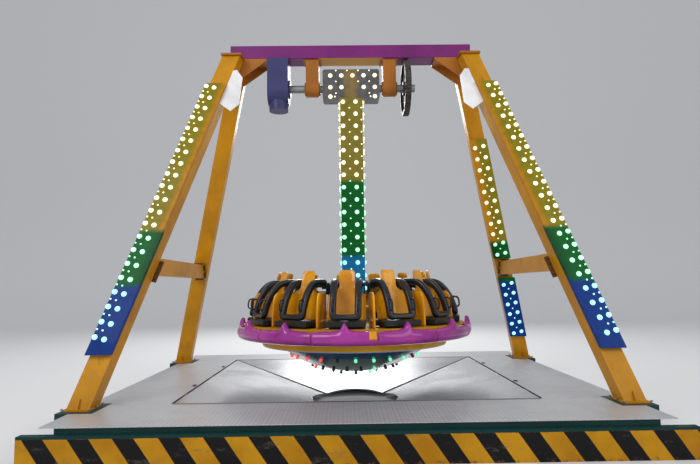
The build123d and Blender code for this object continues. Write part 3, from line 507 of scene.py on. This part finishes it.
def add_piece(name, points, faces, body, slot, material, smooth=True):
    """New mesh piece on a CAD body."""
    mesh = bpy.data.meshes.new(name)
    mesh.from_pydata(np.asarray(points, float).reshape(-1, 3).tolist(), [], [list(f) for f in faces])
    mesh.update()
    mesh.polygons.foreach_set("use_smooth", np.full(len(mesh.polygons), smooth))
    mesh.materials.append(material)
    piece = add_to_scene(name, mesh)
    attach(piece, body)
    return piece


def grid_faces(rows, columns, wrap=True):
    """Quads between neighbouring rows of points; wrap closes each row."""
    i, j = np.meshgrid(np.arange(rows - 1), np.arange(columns if wrap else columns - 1), indexing="ij")
    k = (j + 1) % columns
    quads = np.stack([i * columns + j, i * columns + k, (i + 1) * columns + k, (i + 1) * columns + j], -1)
    return quads.reshape(-1, 4)


def closed_tube(rings):
    """Closed surface over rings of points (rows x columns x 3), with a flat cap at both ends."""
    rows, columns = rings.shape[:2]
    faces = grid_faces(rows, columns).tolist()
    faces.append(list(range(columns))[::-1])
    faces.append(list(range((rows - 1) * columns, rows * columns)))
    return rings.reshape(-1, 3), faces


def full_turn(count):
    """Angles once round a circle."""
    return np.linspace(0, 2 * math.pi, count, endpoint=False)


def turned_form(profile, count):
    """Surface of revolution about z: each (radius, height) of the profile swept round in count steps,
    with a flat face at both ends."""
    r, z = np.asarray(profile, float).T[:, :, None]
    turn = full_turn(count)
    return closed_tube(np.stack([r * np.cos(turn), r * np.sin(turn), z + 0 * turn], axis=-1))


def joined(forms):
    """One form from several lists of points and faces."""
    points, faces, start = [], [], 0
    for piece_points, piece_faces in forms:
        points.append(np.asarray(piece_points).reshape(-1, 3))
        faces += [[start + corner for corner in face] for face in piece_faces]
        start += len(points[-1])
    return np.concatenate(points), faces


def copies(form, places, turns, sizes=None):
    """One form repeated at places; turns are 3 x 3 matrices and sizes are factors."""
    points, faces = form
    sizes = np.ones(len(places)) if sizes is None else np.asarray(sizes, float)
    moved = np.einsum("kij,pj->kpi", np.asarray(turns), points) * sizes[:, None, None]
    moved = moved + np.asarray(places, float)[:, None, :]
    return joined([(block, faces) for block in moved])


def axes_from(normal, along):
    """Rotation whose z is the normal and whose x lies along the given direction."""
    z = np.asarray(normal, float) / np.linalg.norm(normal)
    x = np.asarray(along, float) - z * np.dot(along, z)
    x /= np.linalg.norm(x)
    return np.stack([x, np.cross(z, x), z], axis=1)


def rounded_path(corners, rounds=3):
    """Corner-cutting: each run keeps its points at one and three quarters, and the ends stay."""
    path = np.asarray(corners, float)
    for _ in range(rounds):
        near, far = path[:-1], path[1:]
        cut = np.stack([near * 0.75 + far * 0.25, near * 0.25 + far * 0.75], axis=1)
        path = np.concatenate([path[:1], cut.reshape(-1, path.shape[1]), path[-1:]])
    return path


def path_length(path):
    """Length of a path from its start to each of its points."""
    return np.concatenate([[0], np.cumsum(np.linalg.norm(np.diff(path, axis=0), axis=1))])


def path_directions(path):
    """Unit direction of a path at each of its points."""
    along = np.gradient(path, axis=0)
    return along / np.linalg.norm(along, axis=1)[:, None]


def soft_square(count, power=3.2):
    """Outline |a|^power + |b|^power = 1, as count points (a, b)."""
    turn = full_turn(count)
    c, s = np.cos(turn), np.sin(turn)
    return np.sign(c) * np.abs(c) ** (2 / power), np.sign(s) * np.abs(s) ** (2 / power)


def soft_step(value, low, high):
    """0 below low, 1 above high, and 3t^2 - 2t^3 between."""
    t = np.clip((value - low) / (high - low), 0, 1)
    return t * t * (3 - 2 * t)


def bell(distance, width):
    """Gaussian bump of height 1."""
    return np.exp(-(distance / width) ** 2)


# Lamps

# Radii of the lamps, and the step between rows
BIG_BULB, SMALL_BULB, STALK_BULB = 0.028, 0.010, 0.023
BULB_PITCH = 0.190

# One row's distance up a leg, the rows counted from it, and the columns outwards from the leg's middle
LEG_ROW, ROWS_BELOW, ROWS_ABOVE = 1.338, 10, 20
LEG_COLUMNS, LEG_SMALL_COLUMNS = (0.018, 0.136), (0.080, 0.150)
BACK_COLUMNS, BACK_SMALL_COLUMNS = (-0.070, 0.070), (0.0,)

# One row's height on the arm's sleeve, the rows counted each way, and the columns
ARM_ROW, ARM_ROWS = 2.828, 12
ARM_COLUMNS, ARM_SMALL_COLUMNS = (-0.130, 0.065), (-0.032, 0.150)

# The head's lamps: their shift to one side, the step between columns and the heights of the rows
HEAD_SHIFT, HEAD_COLUMN = 0.024, 0.172
HEAD_TOP, HEAD_MIDDLE, HEAD_BOTTOM = 4.970, 4.783, 4.634

# Rings of the dome's lamps: reach from the axis, number of lamps, and how many of five in turn are lit
DOME_RINGS = ((0.93, 24, 4), (0.62, 20, 1), (0.32, 9, 1))


def lamp_cap(radius):
    """Faceted lamp cap on its collar: a flat collar ring, then a dome, as radius over height."""
    lift = radius * 0.25
    turn = np.linspace(0.15, math.pi / 2 * 0.985, 5)
    profile = [(radius * 1.18, 0.0), (radius * 1.15, lift * 0.6), (radius, lift)]
    profile += [(radius * math.cos(t), lift + radius * 0.75 * math.sin(t)) for t in turn]
    return turned_form(profile, 12)


def stalk_lamp(radius):
    """Round lamp on a short stalk: a collar, the stalk, and then a ball of constant radius."""
    lift = radius * 0.85
    turn = np.linspace(-0.70, math.pi / 2 * 0.985, 8)
    profile = [(radius * 0.9, 0.0), (radius * 0.9, 0.003), (radius * 0.35, 0.004)]
    profile += [(radius * math.cos(t), lift + radius * math.sin(t)) for t in turn]
    return turned_form(profile, 10)


def add_lamps(name, big, small, turn, body, material):
    """One mesh with all lamps of a face."""
    places = np.array(big + small)
    sizes = [1.0] * len(big) + [SMALL_BULB / BIG_BULB] * len(small)
    turns = np.broadcast_to(turn, (len(places), 3, 3))
    form = copies(lamp_cap(BIG_BULB), places, turns, sizes)
    return add_piece(name, *form, body, "lamp_box", MATERIALS[material])


def leg_axes(side, front):
    """Foot point, and the leg's own across, facing and along directions."""
    foot, head = FOOT * (side, front, 1), HEAD * (side, front, 1)
    along = (head - foot) / np.linalg.norm(head - foot)
    across = np.array([1.0, 0, 0]) - along * along[0]
    across /= np.linalg.norm(across)
    facing = np.cross(along, across)
    return foot, across, facing * -np.sign(facing[1]), along


def lamp_rows(low, high, along):
    """Distances along a leg of the rows of lamps between two heights."""
    start, end = ((height - DECK_TOP) / along[2] for height in (low, high))
    rows = LEG_ROW + np.arange(-ROWS_BELOW, ROWS_ABOVE) * BULB_PITCH
    return rows[(rows > start + 0.05) & (rows < end - 0.05)]


def leg_lamps(name, side, front, spans, big_columns, small_columns):
    """Columns of large lamps and of small ones between their rows, on a leg's lamp box. Columns are
    distances outwards from the leg's middle. A front leg's box has one more column on its cheek."""
    foot, across, facing, along = leg_axes(side, front)
    runs = [lamp_rows(low, high, along) for low, high in spans]
    rows = np.concatenate(runs)
    between = np.concatenate([run[:-1] for run in runs]) + BULB_PITCH / 2
    outwards = across * side
    face = foot + facing * (LEG_DEPTH / 2 + LAMP_BOX_DEPTH)
    big = [face + outwards * column + along * s for column in big_columns for s in rows]
    small = [face + outwards * column + along * s for column in small_columns for s in between]
    add_lamps(name, big, small, axes_from(facing, along), "fixed_frame", "glass")
    if front < 0:
        cheek = foot + outwards * (LAMP_BOX_OFFSET + LAMP_BOX_WIDTH / 2)
        cheek = cheek + facing * (LEG_DEPTH / 2 - LAMP_BOX_SIDE / 2 + LAMP_BOX_DEPTH / 2)
        big = [cheek + along * s for s in rows]
        small = [cheek + along * s for s in between]
        add_lamps(name + "_side", big, small, axes_from(outwards, along), "fixed_frame", "glass")


def arm_lamps():
    """Lamps on the four faces of the arm's sleeve and on the two broad faces of its head."""
    low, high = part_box("arm_lamp_sleeve")
    half = (high[0] - low[0]) / 2
    rows = ARM_ROW + np.arange(-ARM_ROWS, ARM_ROWS) * BULB_PITCH
    rows = rows[(rows > low[2] + 0.06) & (rows < high[2] - 0.04)]
    between = rows[:-1] + BULB_PITCH / 2
    for index in range(4):
        angle = index * math.pi / 2
        out = np.array([math.sin(angle), -math.cos(angle), 0.0])
        side = np.array([math.cos(angle), math.sin(angle), 0.0])
        big = [out * half + side * c + UP * z for z in rows for c in ARM_COLUMNS]
        small = [out * half + side * c + UP * z for z in between for c in ARM_SMALL_COLUMNS]
        add_lamps("arm_lamps_%d" % (index + 1), big, small, axes_from(out, UP), "swing_arm", "arm_glass")
        if index % 2 == 0:
            head_lamps("head_lamps_%d" % (index // 2 + 1), out, side)


def head_lamps(name, out, side):
    """Rows of five, four and two large lamps on the arm's head, with small ones between."""
    low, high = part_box("arm_head")
    face = out * (high[1] - low[1]) / 2 + side * HEAD_SHIFT
    half_row = BULB_PITCH / 2

    def row(columns, height):
        return [face + side * c * HEAD_COLUMN + UP * height for c in columns]

    big = row((-2, -1, 0, 1, 2), HEAD_TOP) + row((-2, -1, 1, 2), HEAD_MIDDLE) + row((-2, 2), HEAD_BOTTOM)
    small = row((-1.5, 0.5, 1.5), HEAD_TOP - half_row) + row((-1.5, 1.5), HEAD_MIDDLE - half_row)
    small += row((-1.6, 1.6), HEAD_BOTTOM) + row((-1.5, -0.5, 0.5, 1.5), HEAD_TOP + 0.080)
    add_lamps(name, big, small, axes_from(out, UP), "swing_arm", "arm_glass")


def dome_lamps():
    """Lamps on short stalks in rings on the dome, which is a bowl of one radius: lit red on one side and
    green on the other near the lip, and mostly unlit lower down."""
    depth = DOME_TOP - DOME_BOTTOM
    radius = (DOME_RADIUS ** 2 + depth ** 2) / (2 * depth)
    kinds = {"lamp_red": [], "lamp_green": [], "lamp_dark": []}
    for ring, (reach, count, lit_in_five) in enumerate(DOME_RINGS):
        for index in range(count):
            turn = (index + ring * 0.4) * 2 * math.pi / count
            tilt = math.asin(reach / radius)
            level = math.sin(tilt)
            out = np.array([level * math.cos(turn), level * math.sin(turn), -math.cos(tilt)])
            kind = "lamp_red" if out[0] < (ring % 2 - 0.5) * 0.1 else "lamp_green"
            if (index * 7 + ring * 3) % 5 >= lit_in_five:
                kind = "lamp_dark"
            kinds[kind].append((out * radius + UP * (DOME_BOTTOM + radius), axes_from(out, (0.3, 0.2, 1.0))))
    for kind, lamps in kinds.items():
        places, turns = zip(*lamps)
        form = copies(stalk_lamp(STALK_BULB), places, turns)
        add_piece("dome_" + kind, *form, "seat_ring", "lamp_box", MATERIALS[kind])


def all_lamps():
    """Lamps of the legs, the arm and the dome. The back box is parted at the tie's end flange."""
    for word, side in (("left", -1), ("right", 1)):
        leg_lamps("leg_lamps_front_" + word, side, -1, [(LAMP_BOX_LOW, LAMP_BOX_HIGH)], LEG_COLUMNS,
                  LEG_SMALL_COLUMNS)
    gap = TIE_DEPTH / 2 + TIE_MARGIN + TIE_FLANGE
    spans = [(BACK_LAMP_LOW, TIE_HEIGHT - gap), (TIE_HEIGHT + gap, BACK_LAMP_HIGH)]
    leg_lamps("leg_lamps_back_right", 1, 1, spans, BACK_COLUMNS, BACK_SMALL_COLUMNS)
    arm_lamps()
    dome_lamps()


# Seat ring, in a seat's own frame: x outwards, y across, z up from the ring's floor

# Harness: its pivot's place and radii, half the distance between its arms, and its padding's radius at
# the pivot, the gain over the shoulder and the loss at the lap
PIVOT_REACH, PIVOT_LIFT = 1.000, 0.540
PIVOT_BAR, PIVOT_SLEEVE = 0.0155, 0.026
ARM_SPREAD = 0.158
PAD_RADIUS, PAD_GAIN, LAP_LOSS = 0.030, 0.013, 0.009
ARM_SIDE_VIEW = ((1.000, 0.492), (1.000, 0.570), (1.030, 0.588), (1.225, 0.585), (1.330, 0.510),
                 (1.420, 0.380), (1.470, 0.260), (1.495, 0.172))
LAP_BAR = ((1.500, -0.150, 0.146), (1.500, -0.090, 0.142), (1.500, 0.0, 0.142))
GRAB_LOOP = ((1.440, 0.358), (1.500, 0.362), (1.544, 0.352), (1.560, 0.302), (1.562, 0.245),
             (1.545, 0.224), (1.500, 0.222), (1.480, 0.230))
GRAB_BAR = 0.011

# Seat back: its foot, rise, place and lean, its half wall, and how half width and wings lose size upwards
BACK_FOOT, BACK_RISE, BACK_PLACE, BACK_LEAN, BACK_WALL = 0.095, 0.645, 1.240, 0.130, 0.015
HIP_HALF, WAIST_LOSS, NECK_LOSS = 0.250, 0.006, 0.141
WING_DEPTH, WING_WAIST_LOSS, WING_NECK_LOSS, WING_TOP_LOSS = 0.098, 0.014, 0.050, 0.008
HEAD_PADDING, BACK_GROOVE = 0.010, 0.006

# Fin between two seats: its foot, rise, place and lean, and its half length and half thickness
FIN_FOOT, FIN_RISE, FIN_PLACE, FIN_LEAN = 0.001, 0.448, 1.350, 0.019
FIN_REACH, FIN_HALF = 0.160, 0.0178

# Skirt: radius and height above the floor along its profile, and the horn's and shoulders' height and width
SKIRT_PROFILE = ((1.622, 1.172), (1.650, 1.173), (1.692, 1.160), (1.718, 1.125), (1.725, 1.080),
                 (1.716, 1.035), (1.680, 1.002), (1.600, 0.986), (1.421, 0.977))
SKIRT_RADIUS, SKIRT_GAP, SKIRT_WALL = 1.725, 0.003, 0.006
SKIRT_ROWS, SKIRT_COLUMNS = 40, 57
HORN, HORN_WIDTH, SHOULDER, SHOULDER_WIDTH = 0.088, 0.042, 0.019, 0.12
HORN_BULGE, BULGE_WIDTH, SEAM_DIP = 0.026, 0.07, 0.004


def seat_angle(index):
    """Angle of a seat about the ring's axis; the first one faces the front."""
    return FIRST_SEAT_ANGLE + index * 2 * math.pi / SEATS


def on_ring(points, angle):
    """Carry points from a seat's own frame to its place on the ring."""
    c, s = math.cos(angle), math.sin(angle)
    turn = np.array([[c, s, 0], [-s, c, 0], [0, 0, 1]])
    return np.asarray(points) @ turn + (0, 0, FLOOR_TOP)


def all_round(form, shift=0.0):
    """One form repeated at every seat, or with a shift of a half between the seats."""
    points, faces = form
    return joined([(on_ring(points, seat_angle(index + shift)), faces) for index in range(SEATS)])


def harness_form():
    """Padded harness: a rounded-square section carried from one pivot over the shoulder, down to the
    lap, across and back up. Its first axis stays square to the path in the side view, and the
    section thins towards the pivots and the lap."""
    path = rounded_path([(x, -ARM_SPREAD, z) for x, z in ARM_SIDE_VIEW] + list(LAP_BAR))
    along = path_directions(path)
    share = np.hypot(along[:, 0], along[:, 2])[:, None]
    out = np.stack([-along[:, 2], np.zeros(len(path)), along[:, 0]], axis=1)
    out = share * out + (1 - share) * np.array([0.94, 0, 0.34])
    out -= along * np.sum(out * along, axis=1)[:, None]
    out /= np.linalg.norm(out, axis=1)[:, None]
    wide = np.cross(along, out)
    length = path_length(path)
    swell = PAD_RADIUS + PAD_GAIN * np.clip(length / 0.12, 0, 1)
    swell = swell - LAP_LOSS * np.clip((length - 0.80) / 0.15, 0, 1)
    a, b = soft_square(18)
    section = a[None, :, None] * out[:, None] + b[None, :, None] * wide[:, None]
    half = path[:, None] + swell[:, None, None] * section
    return closed_tube(np.concatenate([half, half[:-1][::-1] * (1, -1, 1)]))


def grab_form(side):
    """Grab loop: a round bar carried along a D in the arm's own plane."""
    path = rounded_path([(x, side * ARM_SPREAD, z) for x, z in GRAB_LOOP], 2)
    along = path_directions(path)
    out = np.stack([-along[:, 2], np.zeros(len(path)), along[:, 0]], axis=1)
    turn = full_turn(10)[None, :, None]
    ring = np.cos(turn) * out[:, None] - np.sin(turn) * np.array([0, 1.0, 0])
    return closed_tube(path[:, None] + GRAB_BAR * ring)


def pivot_form():
    """Pivot bar across the back of the harness: a round bar with thin ends."""
    end, shoulder, reach = 0.222, 0.160, ARM_SPREAD
    profile = [(PIVOT_BAR, -end), (PIVOT_BAR, -shoulder), (PIVOT_SLEEVE, -reach), (PIVOT_SLEEVE, reach),
               (PIVOT_BAR, shoulder), (PIVOT_BAR, end)]
    r, y = np.asarray(profile).T[:, :, None]
    turn = full_turn(16)
    return closed_tube(np.stack([PIVOT_REACH + r * np.cos(turn), y + 0 * turn,
                                 PIVOT_LIFT - r * np.sin(turn)], axis=-1))


def harnesses():
    """A padded harness with its grab loops and pivot bar on every seat."""
    points, faces = joined([harness_form(), grab_form(-1), grab_form(1), pivot_form()])
    for index in range(SEATS):
        name = "harness_%02d" % (index + 1)
        piece = add_piece("padded_" + name, on_ring(points, seat_angle(index)), faces,
                          "rider_bar_%02d" % (index + 1), "harness_foam", MATERIALS["foam"])
        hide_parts(name)


def seat_back_form():
    """High back: a crescent that follows the hips and narrows to the headrest. Half width and wing
    depth change with height by smooth steps, the wing's depth grows with |u|^2.4 across, and a
    rounded rim closes the shell."""
    v = np.concatenate([[0.0, 0.012], np.linspace(0.04, 0.90, 26), [0.94, 0.97, 0.99, 1.0]])[:, None]
    half = HIP_HALF - WAIST_LOSS * soft_step(v, 0.0, 0.45) - NECK_LOSS * soft_step(v, 0.48, 0.65)
    half = half * np.sqrt(1 - 0.50 * np.clip((v - 0.92) / 0.08, 0, 1) ** 2.5)
    depth = WING_DEPTH - WING_WAIST_LOSS * soft_step(v, 0.0, 0.45)
    depth = depth - WING_NECK_LOSS * soft_step(v, 0.50, 0.68) - WING_TOP_LOSS * soft_step(v, 0.75, 1.0)
    wall = BACK_WALL * np.sqrt(np.clip(1 - ((v - 0.5) / 0.5) ** 12, 0.05, 1))
    u, b = (part[None, :] for part in soft_square(60, 2.6))
    padding = HEAD_PADDING * (1 - u ** 2) ** 2 * soft_step(v, 0.66, 0.76) * (1 - soft_step(v, 0.9, 1.0))
    groove = BACK_GROOVE * bell(u, 0.07) * soft_step(v, 0.05, 0.15) * (1 - soft_step(v, 0.54, 0.64))
    centre = BACK_PLACE - BACK_LEAN * v - BACK_WALL + depth * np.abs(u) ** 2.4
    x = centre + b * wall + np.where(b > 0, padding - groove, 0)
    return closed_tube(np.stack([x, -half * u, BACK_FOOT + BACK_RISE * v + 0 * u], axis=-1))


def seat_backs():
    """One mesh of all seat backs."""
    piece = add_piece("moulded_seat_backs", *all_round(seat_back_form()), "seat_ring", "seat_shell",
                      MATERIALS["shell"])
    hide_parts("seat_backs")


def divider_form():
    """Moulded fin between two seats: soft-square sections from the floor up, each centred a little
    further in than the one below, and drawn in to a rounded top."""
    v = np.concatenate([np.linspace(0, 0.86, 12), [0.91, 0.95, 0.98, 0.995, 1.0]])[:, None]
    top = np.sqrt(1 - (0.86 * np.clip((v - 0.80) / 0.20, 0, 1)) ** 2.4)
    a, b = (part[None, :] for part in soft_square(36, 5.0))
    reach = FIN_REACH * (0.45 + 0.55 * top) * (1 - 0.12 * v ** 2)
    x = FIN_PLACE - FIN_LEAN * v ** 2 - 0.02 * (1 - top) + reach * a
    y = FIN_HALF * np.sqrt(top) * b
    return closed_tube(np.stack([x, y, FIN_FOOT + FIN_RISE * v + 0 * x], axis=-1))


def seat_dividers():
    """One mesh of all fins between the seats."""
    piece = add_piece("moulded_seat_dividers", *all_round(divider_form(), 0.5), "seat_ring", "seat_shell",
                      MATERIALS["shell"])
    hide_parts("seat_dividers")


def skirt_form():
    """Skirt panel: a bell-shaped profile swept over one seat's share of the circle. The top edge is
    cut lower towards the seams, and rises to a horn in the middle by a narrow bell on a wide one; the
    wall bulges below the horn and dips at the seams."""
    profile = rounded_path(SKIRT_PROFILE)
    length = path_length(profile)
    length /= length[-1]
    t = np.linspace(-1, 1, SKIRT_COLUMNS)[None, :]
    start = 0.15 * np.clip((np.abs(t) - 0.38) / 0.62, 0, 1) ** 1.6
    s = start + (1 - start) * np.linspace(0, 1, SKIRT_ROWS)[:, None] ** 1.25
    r = np.interp(s, length, profile[:, 0])
    z = np.interp(s, length, profile[:, 1])
    half_turn = math.pi / SEATS - SKIRT_GAP / SKIRT_RADIUS
    across = t * half_turn * 1.7
    z = z + (HORN * bell(across, HORN_WIDTH) + SHOULDER * bell(across, SHOULDER_WIDTH)) * bell(s, 0.16)
    r = r + HORN_BULGE * bell(across, BULGE_WIDTH) * bell(s - 0.07, 0.09)
    r = np.minimum(r - SEAM_DIP * bell(1 - np.abs(t), 0.03), SKIRT_RADIUS - 0.0005)
    turn = t * half_turn
    points = np.stack([r * np.cos(turn), r * np.sin(turn), z - FLOOR_TOP], axis=-1)
    return points.reshape(-1, 3), grid_faces(SKIRT_ROWS, SKIRT_COLUMNS, wrap=False)[:, ::-1].tolist()


def skirt():
    """All skirt panels in one mesh, given their thickness inwards."""
    piece = add_piece("moulded_skirt_panels", *all_round(skirt_form()), "seat_ring", "skirt_shell",
                      MATERIALS["skirt"])
    wall = piece.modifiers.new("wall", "SOLIDIFY")
    wall.thickness = SKIRT_WALL
    wall.offset = -1.0
    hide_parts("skirt_panels")


# Fasteners

# Places of the bolts on the base flanges, the ties' end flanges, the head plates and the bearing caps
BASE_BOLTS = [(x, y) for x in (-0.155, 0.155) for y in (-0.160, 0.0, 0.160)]
TIE_BOLTS = [(x, z) for x in (-0.088, 0.088) for z in (-0.125, 0.0, 0.125)]
HEAD_BOLTS = [(x, y) for x in (1.70, 1.92) for y in (-0.34, -0.24, 0.24, 0.34)]
BEARING_FACE, BEARING_CIRCLE = 0.118, 0.086

# Flange plate: its gap from the tie's side, its width and its bolts
PLATE_GAP, PLATE_WIDTH, PLATE_BOLT_EDGE = 0.030, 0.075, 0.035
PLATE_BOLTS = (-0.110, -0.037, 0.037, 0.110)
FRAME_BOLT, BEARING_BOLT, PLATE_BOLT = 0.015, 0.009, 0.012

# Locking lugs: half sizes, height, chamfer and places
LUG_SIZE, LUG_HEIGHT, LUG_CHAMFER = np.array([0.022, 0.034]), 0.014, 0.006
LUG_X, LUG_Y = 2.215, (-0.60, 1.17)


def bolt_form():
    """Hexagonal bolt head on its washer: stacked rings of six and then a small chamfer."""
    return turned_form([(1.35, 0.0), (1.35, 0.16), (1.0, 0.16), (1.0, 0.72), (0.86, 0.82)], 6)


def bolts(name, bolted, radius, material="steel"):
    """Bolt heads from pairs of a place and a turn."""
    places, turns = zip(*bolted)
    form = copies(bolt_form(), places, turns, [radius] * len(places))
    return add_piece(name, *form, "fixed_frame", "steel", MATERIALS[material], smooth=False)


def tie_end(side, front):
    """Point on a leg's axis at the tie's height, and the leg's across, tie-facing and along
    directions."""
    foot, across, facing, along = leg_axes(side, front)
    return foot + along * ((TIE_HEIGHT - foot[2]) / along[2]), across, facing * front, along


def frame_bolts():
    """Bolts of the base flanges, the ties' end flanges, the head plates and the bearing caps."""
    upright = np.eye(3)
    bolted, capped = [], []
    for side in (-1, 1):
        for front in (-1, 1):
            flange = FOOT * (side, front, 1) + UP * BASE_FLANGE
            bolted += [(flange + (x, y, 0), upright) for x, y in BASE_BOLTS]
            centre, across, inward, along = tie_end(side, front)
            step = LEG_DEPTH / 2 / abs(inward[1]) + TIE_FLANGE
            lean = along[1] / along[2]
            turn = axes_from(inward, across)
            bolted += [(centre + (x, lean * z - front * step, z), turn) for x, z in TIE_BOLTS]
        bolted += [((side * x, y, CROWN_BOTTOM), upright) for x, y in HEAD_BOLTS]
        for way in (-1, 1):
            turn = axes_from((way, 0, 0), UP)
            face = np.array([side * HANGER_CENTRE + way * BEARING_FACE, 0, SHAFT_HEIGHT])
            capped += [(face + (0, BEARING_CIRCLE * math.cos(t), BEARING_CIRCLE * math.sin(t)), turn)
                       for t in full_turn(8)]
    bolts("frame_bolts", bolted, FRAME_BOLT)
    bolts("bearing_bolts", capped, BEARING_BOLT)


def flange_plates():
    """Inner halves of the front ends of the ties' flanges: flat plates beside each front leg, in line
    with its back face, with bolt heads on both faces."""
    forms, bolted = [], []
    near, far = LEG_DEPTH / 2, LEG_DEPTH / 2 + TIE_FLANGE
    low = TIE_WIDTH / 2 + PLATE_GAP
    high = low + PLATE_WIDTH
    reach = TIE_DEPTH / 2 + TIE_MARGIN
    for side in (-1, 1):
        centre, across, inward, along = tie_end(side, -1)
        corners = np.array([(low, -reach), (high, -reach), (high, reach), (low, reach)])[::side]
        outline = centre + corners @ np.array([across * -side, along])
        forms.append(closed_tube(np.stack([outline + inward * near, outline + inward * far])))
        edge = centre - across * side * (high - PLATE_BOLT_EDGE)
        for u in PLATE_BOLTS:
            for depth, way in ((near, -1), (far, 1)):
                bolted.append((edge + inward * depth + along * u, axes_from(inward * way, along)))
    add_piece("tie_flange_plates", *joined(forms), "fixed_frame", "leg_yellow", MATERIALS["rusty"],
              smooth=False)
    bolts("tie_flange_bolts", bolted, PLATE_BOLT, "iron")


def deck_lugs():
    """Small dark locking lugs on the deck beside the hinges of the side flaps: low blocks with a
    chamfered top, as three stacked rectangles."""
    corners = np.array([(1, 1), (-1, 1), (-1, -1), (1, -1)])
    rings = [np.column_stack([corners * (LUG_SIZE - inset), np.full(4, height)]) for inset, height in
             ((0, 0), (0, LUG_HEIGHT - LUG_CHAMFER), (LUG_CHAMFER, LUG_HEIGHT))]
    places = [(side * LUG_X, y, DECK_TOP) for side in (-1, 1) for y in LUG_Y]
    form = copies(closed_tube(np.stack(rings)), places, [np.eye(3)] * len(places))
    add_piece("deck_lugs", *form, "fixed_frame", "steel", MATERIALS["iron"], smooth=False)


# Stage, light and camera

STAGE_HALF_WIDTH = 60.0
STAGE_PROFILE = ((-40.0, 0.0), (8.0, 0.0), (26.0, 0.0), (26.0, 18.0), (26.0, 40.0))
STAGE_DROP = 0.001
LIGHT_AIM = (0, 0, 2.2)
LIGHTS = (("key_light", (-7, -9, 9.5), 6.0, 500), ("fill_light", (8, -8, 6.5), 7.0, 250),
          ("back_light", (0, 12, 8.8), 4.5, 800))


def studio():
    """Pale floor that runs up into a pale wall, soft lights and a plain world."""
    f = Finish("pale_floor")
    f.surface(Base_Color=(0.80, 0.80, 0.80, 1), Roughness=0.9)
    rows = rounded_path(STAGE_PROFILE, 5)
    points = [(x, y, z - STAGE_DROP) for y, z in rows for x in (-STAGE_HALF_WIDTH, STAGE_HALF_WIDTH)]
    mesh = bpy.data.meshes.new("studio_floor")
    mesh.from_pydata(points, [], grid_faces(len(rows), 2, wrap=False).tolist())
    mesh.polygons.foreach_set("use_smooth", np.full(len(mesh.polygons), True))
    mesh.materials.append(f.material)
    add_to_scene("studio_floor", mesh)

    world = bpy.data.worlds.new("studio_world")
    bpy.context.scene.world = world
    world.use_nodes = True
    world.node_tree.nodes["Background"].inputs[0].default_value = (0.86, 0.88, 0.92, 1)
    world.node_tree.nodes["Background"].inputs[1].default_value = 0.62
    for name, place, size, watts in LIGHTS:
        lamp = bpy.data.lights.new(name, "AREA")
        lamp.size, lamp.energy = size, watts
        holder = add_to_scene(name, lamp)
        holder.location = place
        holder.rotation_euler = Matrix(axes_from(np.subtract(place, LIGHT_AIM), UP)).to_euler()


def camera():
    """Camera with the fitted place, heading, tilt and roll."""
    h, t, r = CAMERA_HEADING, CAMERA_TILT, CAMERA_ROLL
    ahead = np.array([math.sin(h) * math.cos(t), math.cos(h) * math.cos(t), math.sin(t)])
    right = np.array([math.cos(h), -math.sin(h), 0])
    up = np.cross(right, ahead)
    level_right = right * math.cos(r) + up * math.sin(r)
    level_up = up * math.cos(r) - right * math.sin(r)
    data = bpy.data.cameras.new("photo_camera")
    data.sensor_width = SENSOR
    data.lens = FOCAL_PIXELS / IMAGE_WIDTH * SENSOR
    holder = add_to_scene("photo_camera", data)
    turn = Matrix(np.stack([level_right, level_up, -ahead], axis=1).tolist())
    holder.matrix_world = Matrix.Translation(CAMERA_PLACE) @ turn.to_4x4()
    bpy.context.scene.camera = holder


camera()
studio()
dress_nodes()
all_lamps()
harnesses()
seat_backs()
seat_dividers()
skirt()
frame_bolts()
flange_plates()
deck_lugs()

bpy.context.scene.view_settings.view_transform = "Standard"
